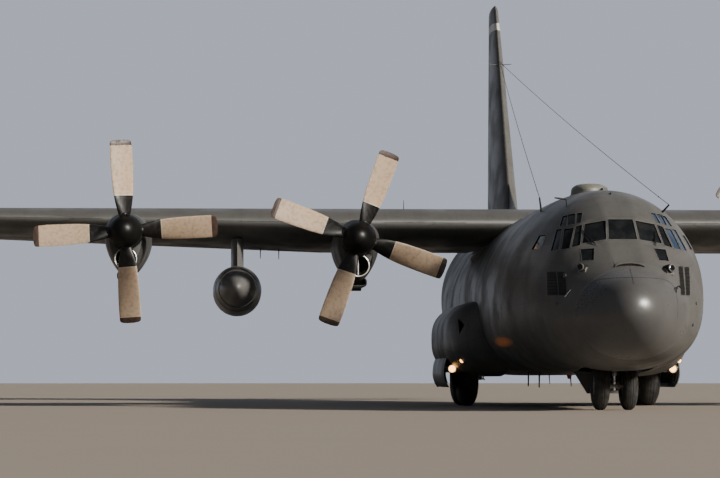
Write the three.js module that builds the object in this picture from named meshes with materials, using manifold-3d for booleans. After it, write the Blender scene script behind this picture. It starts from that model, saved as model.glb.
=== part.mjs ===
// A four-engined, high-winged turboprop transport aircraft, parked on its wheels, as a model at 1:2.
//
// Every size below is the real aircraft's, in millimetres, and the whole group is scaled by MODEL_SCALE.
// +Z is up, the nose points along -Y, and the port side is +X. A station is a distance aft of the nose's
// tip, and a height is above the ground.

import * as THREE from "three";
import { mergeVertices } from "three/addons/utils/BufferGeometryUtils.js";
import Module from "manifold-3d";

const wasm = await Module();
wasm.setup();

const MODEL_SCALE = 0.5;
const LENGTH = 29790;
const SPAN = 40410;
const HEIGHT = 11660;
const SEAT = 0.6; // gap where one piece rests on another
const SIMPLIFY = 0.1; // how far a surface may move when needless triangles are taken out
const CLEAR = 14; // gap round a piece that moves
const END_GAP = 34; // gap at the ends of a surface whose hinge line is not square to them
const PIN = { radius: 12, slant: 1.6 }; // hinge pins at the ends of control surfaces
const DEGREE = Math.PI / 180;
const SIDES = [
  ["left", 1],
  ["right", -1],
];

// Fuselage
const RADOME_END = 1100;
const COCKPIT_END = 5000;
const HOLD_END = 17500;
const TAIL_HOLLOW_END = 25400;
const WALL = 70;
const HULL_POINTS = 24;
const FLOOR_TOP = 1040;
const FLOOR_START = 5080;
const DECK_TOP = 2300;
const DECK_END = 3940;

// Wing, tailplane and fin
const WING = {
  kink: 5590,
  front: 11000,
  tipFront: 11600,
  chord: 4880,
  tipChord: 2480,
  thick: 870,
  tipThick: 330,
  top: 4660,
  incidence: (5.5 * Math.PI) / 180,
};
const WING_HINGE = 0.75; // fraction of the chord at the nose circles of flaps and ailerons
const FLAP_ROOT = 2260;
const AILERON_ROOT = 11300;
const AILERON_TIP = 19560;
const TAIL = { half: 8025, front: 24300, back: 28750, tipFront: 26000, tipBack: 28150, height: 5020 };
const ELEVATOR_HINGE = 27400;
const ELEVATOR_ROOT = 960;
const FIN = { base: 4500, front: 21700, back: 28560, tipFront: 26200, tipBack: 28120 };
const RUDDER = { base: 5380, top: 11080, hinge: 26900, topHinge: 27450 };

// Engines: distance from the centre line, height of the axis, and the angle at which the blades stopped
const ENGINES = [
  [10160, 3930, 12],
  [4930, 3790, 35],
  [-4930, 3790, 20],
  [-10160, 3930, -3.5],
];
const PROPELLER_RADIUS = 2057;
const PROPELLER_STATION = 8750;
const NACELLE_FRONT = 8990;
const ENGINE_BLOCK = { front: 9800, back: 11900, radius: 320, drop: 150, backDrop: 345 };
const TANK = { offset: 7650, height: 2700, radius: 570, front: 9350, length: 7400 };

// Landing gear
const WHEEL_SIDES = 20;
const FLAT = Math.cos(Math.PI / WHEEL_SIDES); // a tyre rests on one of its flats
const MAIN_TYRE = { radius: 710, width: 508, rim: 260 };
const MAIN_TRACK = 2170;
const MAIN_STATIONS = [12360, 13884];
const MAIN_BAY = { front: 11450, back: 14800, inner: 1735, outer: 2560, top: 1640 };
const NOSE_TYRE = { radius: 495, width: 330, rim: 205 };
const NOSE_STATION = 3350;
const NOSE_PITCH = 580;
const NOSE_BAY = { front: 2560, back: 4240, half: 730, top: 1700 };
const BAY_WALL = 40;

// Doors
const CREW_DOOR = { front: 4040, back: 4820, sill: 990, head: 2560 };
const JUMP_DOOR = { front: 16330, back: 17240, sill: 1060, head: 2890 };
const RAMP = { seam: 20400, half: 1520, frontGap: 34, hinge: 760, top: 1930 };
const SEAM_LEAN = 0.6; // how far aft the seam behind the ramp runs for each unit down
const CARGO_DOOR = { back: 24600, backHalf: 1000, backGap: 40, thickness: 130, hinge: 3300 };

const FINISHES = {
  grey: { color: 0x6c7072, roughness: 0.55, metalness: 0.1 },
  dark: { color: 0x1f2022, roughness: 0.5, metalness: 0.2 },
  glass: { color: 0x20282c, roughness: 0.08, metalness: 0 },
  rubber: { color: 0x161616, roughness: 0.85, metalness: 0 },
  steel: { color: 0x9a9c9e, roughness: 0.35, metalness: 0.8 },
  blade: { color: 0xb9a78a, roughness: 0.5, metalness: 0.1 },
  cabin: { color: 0x4a5450, roughness: 0.8, metalness: 0 },
  cream: { color: 0xc9c2ac, roughness: 0.5, metalness: 0 },
};

const at = (station) => station - LENGTH / 2;
const mix = (a, b, t) => a + (b - a) * t;
const aircraft = new THREE.Group();
aircraft.name = "transport_aircraft";
aircraft.scale.setScalar(MODEL_SCALE);

// Geometry to solid and back

function asSolid(geometry, matrix = new THREE.Matrix4()) {
  const bare = geometry.clone();
  bare.deleteAttribute("normal");
  bare.deleteAttribute("uv");
  const merged = mergeVertices(bare, 1e-3);
  merged.applyMatrix4(matrix);
  const index = merged.index.array;
  const triangles = [];
  for (let i = 0; i < index.length; i += 3) {
    const [a, b, c] = index.subarray(i, i + 3);
    if (a !== b && b !== c && c !== a) triangles.push(a, b, c);
  }
  return new wasm.Manifold(
    new wasm.Mesh({
      numProp: 3,
      vertProperties: new Float32Array(merged.attributes.position.array),
      triVerts: new Uint32Array(triangles),
    }),
  );
}

function addPiece(name, solid, finish) {
  const mesh = solid.simplify(SIMPLIFY).getMesh();
  const corners = new Float32Array(mesh.numVert * 3);
  for (let i = 0; i < mesh.numVert; i++)
    corners.set(mesh.vertProperties.subarray(i * mesh.numProp, i * mesh.numProp + 3), i * 3);
  const geometry = new THREE.BufferGeometry();
  geometry.setAttribute("position", new THREE.BufferAttribute(corners, 3));
  geometry.setIndex(new THREE.BufferAttribute(mesh.triVerts, 1));
  geometry.computeVertexNormals();
  const piece = new THREE.Mesh(geometry, new THREE.MeshStandardMaterial(FINISHES[finish]));
  piece.name = name;
  aircraft.add(piece);
  return piece;
}

const join = (...solids) => solids.reduce((a, b) => a.add(b));
const cut = (solid, ...tools) => tools.reduce((a, b) => a.subtract(b), solid);

// Basic forms, in place

function box(x0, x1, l0, l1, z0, z1) {
  const form = new THREE.BoxGeometry(Math.abs(x1 - x0), l1 - l0, z1 - z0);
  const middle = new THREE.Matrix4().makeTranslation((x0 + x1) / 2, at((l0 + l1) / 2), (z0 + z1) / 2);
  return asSolid(form, middle);
}

function rod(from, to, radius, sides = 12) {
  const [start, end] = [new THREE.Vector3(...from), new THREE.Vector3(...to)];
  const way = end.clone().sub(start);
  const form = new THREE.CylinderGeometry(radius, radius, way.length(), sides);
  const turn = new THREE.Quaternion().setFromUnitVectors(new THREE.Vector3(0, 1, 0), way.normalize());
  const middle = start.add(end).multiplyScalar(0.5);
  return asSolid(form, new THREE.Matrix4().compose(middle, turn, new THREE.Vector3(1, 1, 1)));
}

// A profile of [radius, distance] pairs turned about an axis through origin.
function turned(profile, origin, axis, sides, phase = 0) {
  const points = profile.map(([radius, along]) => new THREE.Vector2(radius, along));
  const form = new THREE.LatheGeometry(points, sides, phase);
  const turn = new THREE.Quaternion().setFromUnitVectors(
    new THREE.Vector3(0, 1, 0),
    new THREE.Vector3(...axis),
  );
  const place = new THREE.Vector3(...origin);
  return asSolid(form, new THREE.Matrix4().compose(place, turn, new THREE.Vector3(1, 1, 1)));
}

// An outline of [station, height] pairs carried sideways from x0 to x1.
function sidePrism(outline, x0, x1) {
  return loft([x0, x1].map((x) => outline.map(([l, z]) => [x, at(l), z])));
}

// An outline of [sideways, height] pairs carried aft from station l0 to l1.
function frontPrism(outline, l0, l1) {
  return loft([l0, l1].map((l) => outline.map(([x, z]) => [x, at(l), z])));
}

// An outline of [sideways, station] pairs carried up from z0 to z1.
function planPrism(outline, z0, z1) {
  return loft([z0, z1].map((z) => outline.map(([x, l]) => [x, at(l), z])));
}

// The skin through rings of equally many points, closed by a flat cap at each end.
function loft(rings) {
  const count = rings[0].length;
  const faces = [];
  for (let r = 0; r + 1 < rings.length; r++)
    for (let i = 0; i < count; i++) {
      const a = r * count + i;
      const b = r * count + ((i + 1) % count);
      faces.push([a, b, a + count], [b, b + count, a + count]);
    }
  const last = (rings.length - 1) * count;
  for (const face of capFaces(rings[0])) faces.push(face.toReversed());
  for (const face of capFaces(rings.at(-1))) faces.push(face.map((i) => i + last));
  const points = rings.flat().map((p) => new THREE.Vector3(...p));
  let volume = 0;
  for (const [a, b, c] of faces) volume += points[a].dot(points[b].clone().cross(points[c]));
  const geometry = new THREE.BufferGeometry().setFromPoints(points);
  geometry.setIndex(faces.flatMap((face) => (volume < 0 ? face.toReversed() : face)));
  return asSolid(geometry);
}

// Triangles over a flat ring, turning the way that the ring does.
function capFaces(ring) {
  const normal = new THREE.Vector3();
  ring.forEach(([x, y, z], i) => {
    const [u, v, w] = ring[(i + 1) % ring.length];
    normal.add(new THREE.Vector3((y - v) * (z + w), (z - w) * (x + u), (x - u) * (y + v)));
  });
  const sizes = normal.toArray().map(Math.abs);
  const drop = sizes.indexOf(Math.max(...sizes));
  const flat = ring.map((p) => new THREE.Vector2(...p.filter((_, axis) => axis !== drop)));
  const sense = Math.sign(THREE.ShapeUtils.area(flat));
  return THREE.ShapeUtils.triangulateShape(flat, []).map((face) => {
    const way = Math.sign(THREE.ShapeUtils.area(face.map((i) => flat[i])));
    return way === sense ? face : face.toReversed();
  });
}

// Fuselage form

// Columns: station, keel height, crown height, half-width, height of the widest point, and the exponent of
// the superellipse below it.
const HULL = [
  [0, 1935, 1965, 15, 1950, 2],
  [150, 1540, 2360, 455, 1940, 2],
  [500, 1230, 2580, 750, 1900, 2],
  [1100, 1000, 2800, 1100, 1900, 2.1],
  [2000, 835, 3390, 1540, 2050, 2.2],
  [2400, 800, 3860, 1640, 2110, 2.25],
  [2700, 775, 4060, 1705, 2160, 2.3],
  [3500, 740, 4420, 1870, 2260, 2.5],
  [5000, 722, 4600, 2115, 2400, 2.7],
  [6500, 720, 4620, 2165, 2450, 2.95],
  [17500, 720, 4620, 2170, 2450, 3],
  [19000, 1090, 4660, 2160, 2560, 3],
  [20600, 1640, 4720, 2090, 2760, 2.9],
  [22500, 2390, 4790, 1860, 3120, 2.7],
  [24600, 3200, 4880, 1450, 3620, 2.5],
  [26500, 3830, 4960, 1020, 4150, 2.3],
  [28200, 4250, 4980, 620, 4560, 2.2],
  [29300, 4460, 4930, 370, 4700, 2],
  [29790, 4600, 4830, 150, 4715, 2],
];

// A row of the table at any station, by cubics in the root of the station that never overshoot, so that the
// nose is round.
function hullAt(station) {
  const knots = HULL.map(([l]) => Math.sqrt(l));
  const s = Math.sqrt(station);
  const i = Math.max(0, Math.min(knots.length - 2, knots.findIndex((k) => k > s) - 1));
  const row = s >= knots.at(-1) ? knots.length - 2 : i;
  const slope = (k, c) => (HULL[k + 1][c] - HULL[k][c]) / (knots[k + 1] - knots[k]);
  const tangent = (k, c) => {
    if (k === 0) return slope(0, c);
    if (k === knots.length - 1) return slope(k - 1, c);
    const [before, after] = [slope(k - 1, c), slope(k, c)];
    return before * after <= 0 ? 0 : (2 * before * after) / (before + after);
  };
  const width = knots[row + 1] - knots[row];
  const t = Math.min(1, (s - knots[row]) / width);
  const value = (c) =>
    HULL[row][c] * (1 + 2 * t) * (1 - t) ** 2 +
    tangent(row, c) * width * t * (1 - t) ** 2 +
    HULL[row + 1][c] * t * t * (3 - 2 * t) -
    tangent(row + 1, c) * width * t * t * (1 - t);
  const [keel, crown, half, middle, power] = [1, 2, 3, 4, 5].map(value);
  return { keel, crown, half, middle, power };
}

// The fuselage's outline at a station: half an ellipse over half a superellipse, drawn in by inset.
function hullRing(station, inset = 0) {
  const { keel, crown, half, middle, power } = hullAt(station);
  return Array.from({ length: HULL_POINTS }, (_, i) => {
    const angle = (2 * Math.PI * i) / HULL_POINTS;
    const [c, s] = [Math.cos(angle), Math.sin(angle)];
    const e = s < 0 ? 2 / power : 1;
    const reach = s < 0 ? middle - keel - inset : crown - middle - inset;
    const x = (half - inset) * Math.sign(c) * Math.abs(c) ** e;
    return [x, at(station), middle + reach * Math.sign(s) * Math.abs(s) ** e];
  });
}

function hullLoft(stations, inset = 0) {
  return loft(stations.map((station) => hullRing(station, inset)));
}

// How far out the skin is at a station and height.
function hullSide(station, height) {
  const { keel, crown, half, middle, power } = hullAt(station);
  const low = height < middle;
  const share = Math.abs(height - middle) / (low ? middle - keel : crown - middle);
  const e = low ? power : 2;
  return half * (1 - share ** e) ** (1 / e);
}

const COCKPIT_STATIONS = [RADOME_END + SEAT, 1500, 1950, 2350, 2800, 3400, 4000, 4500, COCKPIT_END];
const HOLD_STATIONS = [COCKPIT_END + SEAT, 5700, 6500, HOLD_END];
const TAIL_STATIONS = [
  HOLD_END + SEAT, 18200, 19000, 20600, 21600, 22500, 23600, 24600, 25600, 26500, 27400, 28200, 28800, 29300,
  29600, LENGTH,
];

// The windscreen's flat facets: a point of the facet, its turn to the side, and how far it reaches below
// that point along its slope
const SCREEN_SLOPE = 50 * DEGREE;
const FACETS = [
  [0, 2015, 3390, 0, 10],
  [286, 2205, 3617, 23, 430],
  [-286, 2205, 3617, -23, 430],
];

// The block in front of a windscreen facet that is sunk by inset and as much larger all round.
function facetBlock([x, station, height, turn, below], inset) {
  const size = 1500;
  const above = 750;
  const block = new THREE.BoxGeometry(2 * (size + inset), size, above + below + 2 * inset);
  const place = new THREE.Matrix4()
    .makeTranslation(x, at(station), height)
    .multiply(new THREE.Matrix4().makeRotationZ(turn * DEGREE))
    .multiply(new THREE.Matrix4().makeRotationX(SCREEN_SLOPE - Math.PI / 2))
    .multiply(new THREE.Matrix4().makeTranslation(0, inset - size / 2, (above - below) / 2));
  return asSolid(block, place);
}

function cockpitForm(stations, inset) {
  return cut(hullLoft(stations, inset), ...FACETS.map((facet) => facetBlock(facet, inset)));
}

// Window openings, all cut from in front, as [sideways, height] corners: the centre pane, and the port half
// of the lower row from front to side, the brow row above it and the chin pane below it.
const CENTRE_WINDOW = [[-286, 3414], [286, 3414], [248, 3830], [-248, 3830]];
const PORT_WINDOWS = [
  [[338, 3411], [800, 3335], [705, 3738], [301, 3806]],
  [[848, 3300], [1015, 3255], [878, 3690], [755, 3735]],
  [[1058, 3238], [1205, 3222], [1082, 3652], [925, 3664]],
  [[1250, 3218], [1380, 3210], [1215, 3652], [1125, 3660]],
  [[1540, 3264], [1660, 3280], [1500, 3565], [1401, 3561]],
  [[780, 3768], [856, 3764], [793, 3984], [698, 3996]],
  [[885, 3752], [1008, 3734], [955, 3971], [830, 3982]],
  [[1040, 3730], [1146, 3727], [1055, 3938], [968, 3962]],
  [[600, 3222], [848, 3208], [866, 2966], [655, 2976]],
];

function buildFuselage() {
  const nose = hullLoft([0, 20, 90, 260, 500, 800, RADOME_END]);
  const noseHollow = hullLoft([90, 260, 500, 800, RADOME_END + 10], WALL / 2);
  addPiece("radome", cut(nose, noseHollow), "grey");

  const inner = [RADOME_END + WALL, 1500, 1950, 2350, 2800, 3400, 4200, COCKPIT_END + 10];
  const { front, back, half, top } = NOSE_BAY;
  const bay = box(-half, half, front, back, 0, top);
  const liner = box(-half - BAY_WALL, half + BAY_WALL, front - BAY_WALL, back + BAY_WALL, 600, top + BAY_WALL);
  const skin = cockpitForm(COCKPIT_STATIONS, 0);
  const doorway = crewDoorway(0);
  const shell = join(
    cut(skin, cockpitForm(inner, WALL)),
    skin.intersect(liner),
  );
  const hinge = crewDoorHinge();
  const pins = hinge.ends.map((end) => rod(end.near, end.far, 18, 8));
  addPiece("cockpit_shell", join(cut(shell, bay, doorway, ...windowTools(1)), ...pins), "grey");
  const door = cut(skin, cockpitForm(inner, WALL)).intersect(crewDoorway(CLEAR));
  addPiece("crew_door", join(door, rod(hinge.start, hinge.end, 18, 8)), "grey");

  const behind = cut(cockpitForm(inner, WALL + 8), cockpitForm(inner, WALL + 16));
  const band = box(-2100, 2100, 1800, 3760, 2930, 4120);
  const within = cut(cockpitForm(inner, 25), cockpitForm(inner, WALL + 15));
  const panes = within.intersect(join(...windowTools(0.996)));
  const glass = join(behind.intersect(band), panes).decompose();
  addPiece("cockpit_glazing", glass.reduce((a, b) => (b.volume() > a.volume() ? b : a)), "glass");

  buildHold();
  buildTail();
}

// The windows as solids to cut with, each scaled about its middle.
function windowTools(share) {
  const scaled = (outline) => {
    const middle = [0, 1].map((k) => outline.reduce((sum, corner) => sum + corner[k], 0) / outline.length);
    return outline.map((corner) => corner.map((value, k) => mix(middle[k], value, share)));
  };
  const tools = [frontPrism(scaled(CENTRE_WINDOW), 1800, 2900)];
  for (const [, side] of SIDES)
    for (const outline of PORT_WINDOWS)
      tools.push(frontPrism(scaled(outline).map(([x, z]) => [side * x, z]), 1500, 4100));
  return tools;
}

// The crew door's opening on the port side, drawn in by a margin, and twice as far at its front edge, which
// turns a little forwards as the door falls open.
function crewDoorway(margin) {
  const { front, back, sill, head } = CREW_DOOR;
  const outline = [
    [front + 2 * margin, sill + margin],
    [back - margin, sill + margin],
    [back - margin, head - margin],
    [front + 2 * margin, head - margin],
  ];
  return sidePrism(outline, 1000, 2400);
}

// The crew door's hinge line along the foot of its skin, and the fixed pins beyond its ends.
function crewDoorHinge() {
  const { front, back, sill } = CREW_DOOR;
  const height = sill + CLEAR + 18;
  const point = (l) => new THREE.Vector3(hullSide(l, height) - 10, at(l), height);
  const [a, b] = [point(front), point(back)];
  const way = b.clone().sub(a).normalize();
  const on = (end, shift) => end.clone().addScaledVector(way, shift).toArray();
  return {
    start: on(a, CLEAR - 5),
    end: on(b, 5 - CLEAR),
    ends: [
      { near: on(a, CLEAR - 5 - SEAT), far: on(a, -60) },
      { near: on(b, SEAT + 5 - CLEAR), far: on(b, 60) },
    ],
  };
}

function buildHold() {
  const ends = [COCKPIT_END - 10, 5700, 6500, HOLD_END + 10];
  const skin = cut(hullLoft(HOLD_STATIONS), hullLoft(ends, WALL));
  const { front, back, sill, head } = JUMP_DOOR;
  const doorway = (side, margin) =>
    box(side * 1500, side * 2400, front + margin, back - margin, sill + margin, head - margin);
  const tools = [wingSaddle(0), wingPanel(-WING.kink, WING.kink, "fixed", SEAT)];
  for (const [name, side] of SIDES) {
    tools.push(doorway(side, 0), bayLiner(side, SEAT));
    addPiece(`paratroop_door_${name}`, skin.intersect(doorway(side, SEAT)), "grey");
  }
  addPiece("centre_fuselage", cut(skin, ...tools), "grey");

  const filled = hullLoft([FLOOR_START, 5700, 6500, HOLD_END + 10], WALL + SEAT);
  const floor = filled.intersect(box(-2200, 2200, FLOOR_START - 10, HOLD_END, 0, FLOOR_TOP));
  addPiece("cargo_floor", floor, "cabin");
}

// The place of the wing's fairing across the fuselage's back, drawn in by a margin.
function wingSaddle(margin) {
  return box(-2400, 2400, 10550 + margin, 16650 - margin, 3790 + margin, 5200);
}

function buildTail() {
  const hollow = TAIL_STATIONS.filter((l) => l > HOLD_END + 10 && l < TAIL_HOLLOW_END);
  const inside = hullLoft([HOLD_END - 10, ...hollow, TAIL_HOLLOW_END], WALL);
  const form = hullLoft(TAIL_STATIONS);
  const tubeRoom = rod([-1100, at(ELEVATOR_HINGE), TAIL.height], [1100, at(ELEVATOR_HINGE), TAIL.height], 60);
  const tail = cut(form, inside, rampPrism(0), cargoDoorPrism(0), tailplaneForm(SEAT), tubeRoom);
  addPiece("aft_fuselage", tail, "grey");

  const ramp = form.intersect(rampPrism(CLEAR));
  addPiece("cargo_ramp", join(ramp, ...hingeLugs(HOLD_END, 1, RAMP.frontGap, RAMP.hinge, 500)), "grey");

  const thick = cut(form, hullLoft([20000, 20600, 21600, 22500, 23600, 24700], CARGO_DOOR.thickness));
  const door = thick.intersect(cargoDoorPrism(CLEAR));
  const { back, backGap, hinge } = CARGO_DOOR;
  addPiece("cargo_door", join(door, ...hingeLugs(back, -1, backGap, hinge, 850)), "grey");
}

// Two lugs on a door's edge that bear on the frame at its hinge line. The way is 1 for a door behind the
// frame and -1 for one in front of it.
function hingeLugs(frame, way, gap, height, offset) {
  return [-1, 1].map((side) => {
    const point = (x) => [side * x, at(frame + way * gap), height];
    return rod(point(offset - 60), point(offset + 60), gap - SEAT, 8);
  });
}

// The station of the leaning seam between ramp and door at a height.
function seamAt(height) {
  return RAMP.seam + SEAM_LEAN * (RAMP.top - height);
}

// The ramp's place: its floor is flat and its underside is the fuselage's. With no margin it is the opening.
function rampPrism(margin) {
  const front = HOLD_END + (margin ? RAMP.frontGap : 0);
  const behind = margin ? 0 : 3 * CLEAR;
  const outline = [
    [front, 300],
    [front, FLOOR_TOP],
    [seamAt(RAMP.top) + behind, RAMP.top],
    [seamAt(300) + behind, 300],
  ];
  return sidePrism(outline, -RAMP.half + margin, RAMP.half - margin);
}

// The upper cargo door's place, narrower towards the tail.
function cargoDoorPrism(margin) {
  const gap = margin ? 3 * CLEAR : 0;
  const back = CARGO_DOOR.back - (margin ? CARGO_DOOR.backGap : 0);
  const [wide, narrow] = [RAMP.half - margin, CARGO_DOOR.backHalf - margin];
  const plan = [[-wide, 20000], [wide, 20000], [narrow, back], [-narrow, back]];
  const outline = [
    [seamAt(1000) + gap, 1000],
    [seamAt(2200) + gap, 2200],
    [22500, 2900],
    [back + 50, 3650],
    [back + 50, 1000],
  ];
  return planPrism(plan, 1100, 4000).intersect(sidePrism(outline, -1600, 1600));
}

// Aerofoils

// Half the height of an aerofoil at a fraction of its chord, with a square edge at the back.
function halfHeight(share, thickness) {
  const x = Math.min(1, share);
  const root = 0.2969 * Math.sqrt(x) - 0.126 * x - 0.3516 * x ** 2 + 0.2843 * x ** 3 - 0.1036 * x ** 4;
  return 5 * thickness * root + 5 * x;
}

// One section of a wing, tailplane or fin as [aft, out] pairs from its front edge. The part is whole, fixed
// (up to the gap before the hinged piece), moving (with a round nose about the hinge) or back (behind the
// hinge, with a square front).
function section({ chord, thickness, camber, hinge }, part, grow = 0) {
  const half = (share) => halfHeight(share, thickness) + (share > 0 ? 1.5 * grow : 0);
  const middle = (share) => 4 * camber * share * (1 - share);
  const nose = halfHeight(hinge / chord, thickness);
  const from = { whole: 0, fixed: 0, moving: hinge / chord, back: (hinge - nose - 60) / chord }[part];
  const to = part === "fixed" ? (hinge - nose - CLEAR + grow) / chord : 1;
  const steps = from === 0 ? 6 : 2;
  const shares = Array.from({ length: steps + 1 }, (_, i) =>
    from === 0 ? to * (1 - Math.cos((Math.PI / 2) * (i / steps))) : mix(from, to, i / steps),
  );
  const aft = (x) => (x === 0 ? -grow : x * chord);
  const top = shares.map((x) => [aft(x), middle(x) + half(x)]).toReversed();
  const under = shares.map((x) => [aft(x), middle(x) - half(x)]);
  if (part !== "moving") return from === 0 ? [...top, ...under.slice(1)] : [...top, ...under];
  const bend = [1, 2, 3].map((i) => Math.PI / 2 + (Math.PI * i) / 4);
  const round = bend.map((a) => [hinge + nose * Math.cos(a), middle(from) + nose * Math.sin(a)]);
  return [...top, ...round, ...under];
}

// The wing at a distance out: a straight middle, then a taper.
function wingAt(x) {
  const t = Math.max(0, (Math.abs(x) - WING.kink) / (SPAN / 2 - WING.kink));
  const chord = mix(WING.chord, WING.tipChord, t);
  return {
    front: mix(WING.front, WING.tipFront, t),
    chord,
    thickness: mix(WING.thick, WING.tipThick, t),
    camber: 0.02 * chord,
    hinge: WING_HINGE * chord,
    incidence: WING.incidence,
  };
}

// A point of the wing's section in place, with the section's highest point at the wing's top.
function onWing(x, [aft, up], size) {
  const [c, s] = [Math.cos(size.incidence), Math.sin(size.incidence)];
  const peak = Math.max(...section(size, "whole").map(([a, u]) => u * c - a * s));
  return [x, at(size.front + aft * c + up * s), WING.top - peak + up * c - aft * s];
}

function wingRing(x, part, grow = 0) {
  const size = wingAt(x);
  return section(size, part, grow).map((point) => onWing(x, point, size));
}

function wingPanel(x0, x1, part, grow = 0) {
  return loft([wingRing(x0, part, grow), wingRing(x1, part, grow)]);
}

// The centre of the round nose of a flap or aileron.
function wingHinge(x) {
  const size = wingAt(x);
  return onWing(x, [size.hinge, 4 * size.camber * WING_HINGE * (1 - WING_HINGE)], size);
}

// Short pins along a hinge line that bear on the ribs beyond both ends of a control surface.
function hingePins(pointAt, from, to, gap) {
  const reach = gap - SEAT - PIN.slant;
  const inside = 20;
  return [
    rod(pointAt(from - reach), pointAt(from + inside), PIN.radius, 8),
    rod(pointAt(to - inside), pointAt(to + reach), PIN.radius, 8),
  ];
}

function buildWing() {
  const swell = (l) => -75 * Math.sin((Math.PI * (l - 10550)) / 6100) ** 2;
  const saddleStations = [10550, 11200, 12000, 12800, 13600, 14400, 15200, 16000, 16650];
  const saddle = loft(saddleStations.map((l) => hullRing(l, swell(l)))).intersect(wingSaddle(SEAT));
  const middle = [saddle, wingPanel(-WING.kink, WING.kink, "fixed")];
  for (const [name, side] of SIDES) {
    middle.push(wingPanel(side * 1860, side * (FLAP_ROOT - CLEAR), "back"));
    middle.push(wingPanel(side * (WING.kink - 80), side * WING.kink, "back"));
    buildOuterWing(name, side);
    buildFlap(`flap_inner_${name}`, side, FLAP_ROOT, WING.kink - 80 - CLEAR);
    buildFlap(`flap_outer_${name}`, side, WING.kink + 80 + CLEAR, AILERON_ROOT - 40 - CLEAR);
    const [root, tip] = [AILERON_ROOT + 40 + END_GAP, AILERON_TIP - END_GAP];
    const aileron = join(
      wingPanel(side * root, side * tip, "moving"),
      ...hingePins((x) => wingHinge(side * x), root, tip, END_GAP),
    );
    addPiece(`aileron_${name}`, aileron, "grey");
  }
  addPiece("wing_centre", join(...middle), "grey");
}

function buildOuterWing(name, side) {
  const root = WING.kink + SEAT;
  const tip = SPAN / 2;
  const last = wingAt(tip);
  const rounded = { ...last, thickness: 110, chord: last.chord * 0.9, front: last.front + 130 };
  const tipRing = section(rounded, "whole").map((point) => onWing(side * tip, point, rounded));
  const lowered = tipRing.map(([x, y, z]) => [x, y, z - 90]);
  const wing = join(
    wingPanel(side * root, side * (AILERON_TIP + 10), "fixed"),
    wingPanel(side * root, side * (root + 80), "back"),
    wingPanel(side * (AILERON_ROOT - 40), side * (AILERON_ROOT + 40), "back"),
    loft([wingRing(side * AILERON_TIP, "whole"), wingRing(side * (tip - 180), "whole"), lowered]),
  );
  addPiece(`wing_${name}`, wing, "grey");
}

// A flap, with pads on its nose that rest on the wing's rear face.
function buildFlap(name, side, root, tip) {
  const flap = wingPanel(side * root, side * tip, "moving");
  const pads = [0.15, 0.85].map((t) => {
    const x = mix(root, tip, t);
    const [, y, z] = wingHinge(x);
    const size = wingAt(x);
    const nose = halfHeight(WING_HINGE, size.thickness);
    const reach = (nose + CLEAR) / Math.cos(size.incidence) - 2.2;
    return rod([side * x, y - reach, z], [side * x, y, z], 16, 8);
  });
  addPiece(name, join(flap, ...pads), "grey");
}

// Tail surfaces

function tailAt(x) {
  const t = Math.abs(x) / TAIL.half;
  const front = mix(TAIL.front, TAIL.tipFront, t);
  const chord = mix(TAIL.back, TAIL.tipBack, t) - front;
  return { front, chord, thickness: mix(530, 215, t), camber: 0, hinge: ELEVATOR_HINGE - front };
}

function tailRing(x, part, grow = 0) {
  const size = tailAt(x);
  return section(size, part, grow).map(([aft, up]) => [x, at(size.front + aft), TAIL.height + up]);
}

function tailPanel(x0, x1, part, grow = 0) {
  return loft([tailRing(x0, part, grow), tailRing(x1, part, grow)]);
}

// Both halves of the tailplane, with the square roots behind which the elevators turn.
function tailplaneForm(grow) {
  const root = ELEVATOR_ROOT - CLEAR;
  const halves = SIDES.map(([, side]) => {
    const tip = tailRing(side * (TAIL.half - 150), "whole", grow);
    const end = tailAt(TAIL.half);
    const thin = { ...end, thickness: 80, front: end.front + 120, chord: end.chord - 220 };
    const edge = section(thin, "whole", grow).map(([aft, up]) => [
      side * TAIL.half,
      at(thin.front + aft),
      TAIL.height + up,
    ]);
    return join(
      tailPanel(0, side * (TAIL.half - 200), "fixed", grow),
      tailPanel(0, side * root, "whole", grow),
      loft([tailRing(side * (TAIL.half - 290), "whole", grow), tip, edge]),
    );
  });
  return join(...halves);
}

function finAt(height) {
  const t = (height - FIN.base) / (HEIGHT - FIN.base);
  const front = mix(FIN.front, FIN.tipFront, t);
  const chord = mix(FIN.back, FIN.tipBack, t) - front;
  const line = mix(RUDDER.hinge, RUDDER.topHinge, (height - RUDDER.base) / (RUDDER.top - RUDDER.base));
  return { front, chord, thickness: mix(720, 200, t), camber: 0, hinge: line - front };
}

function finPanel(z0, z1, part) {
  return loft(
    [z0, z1].map((z) => {
      const size = finAt(z);
      return section(size, part).map(([aft, out]) => [out, at(size.front + aft), z]);
    }),
  );
}

function finHinge(height) {
  const size = finAt(height);
  return [0, at(size.front + size.hinge), height];
}

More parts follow.
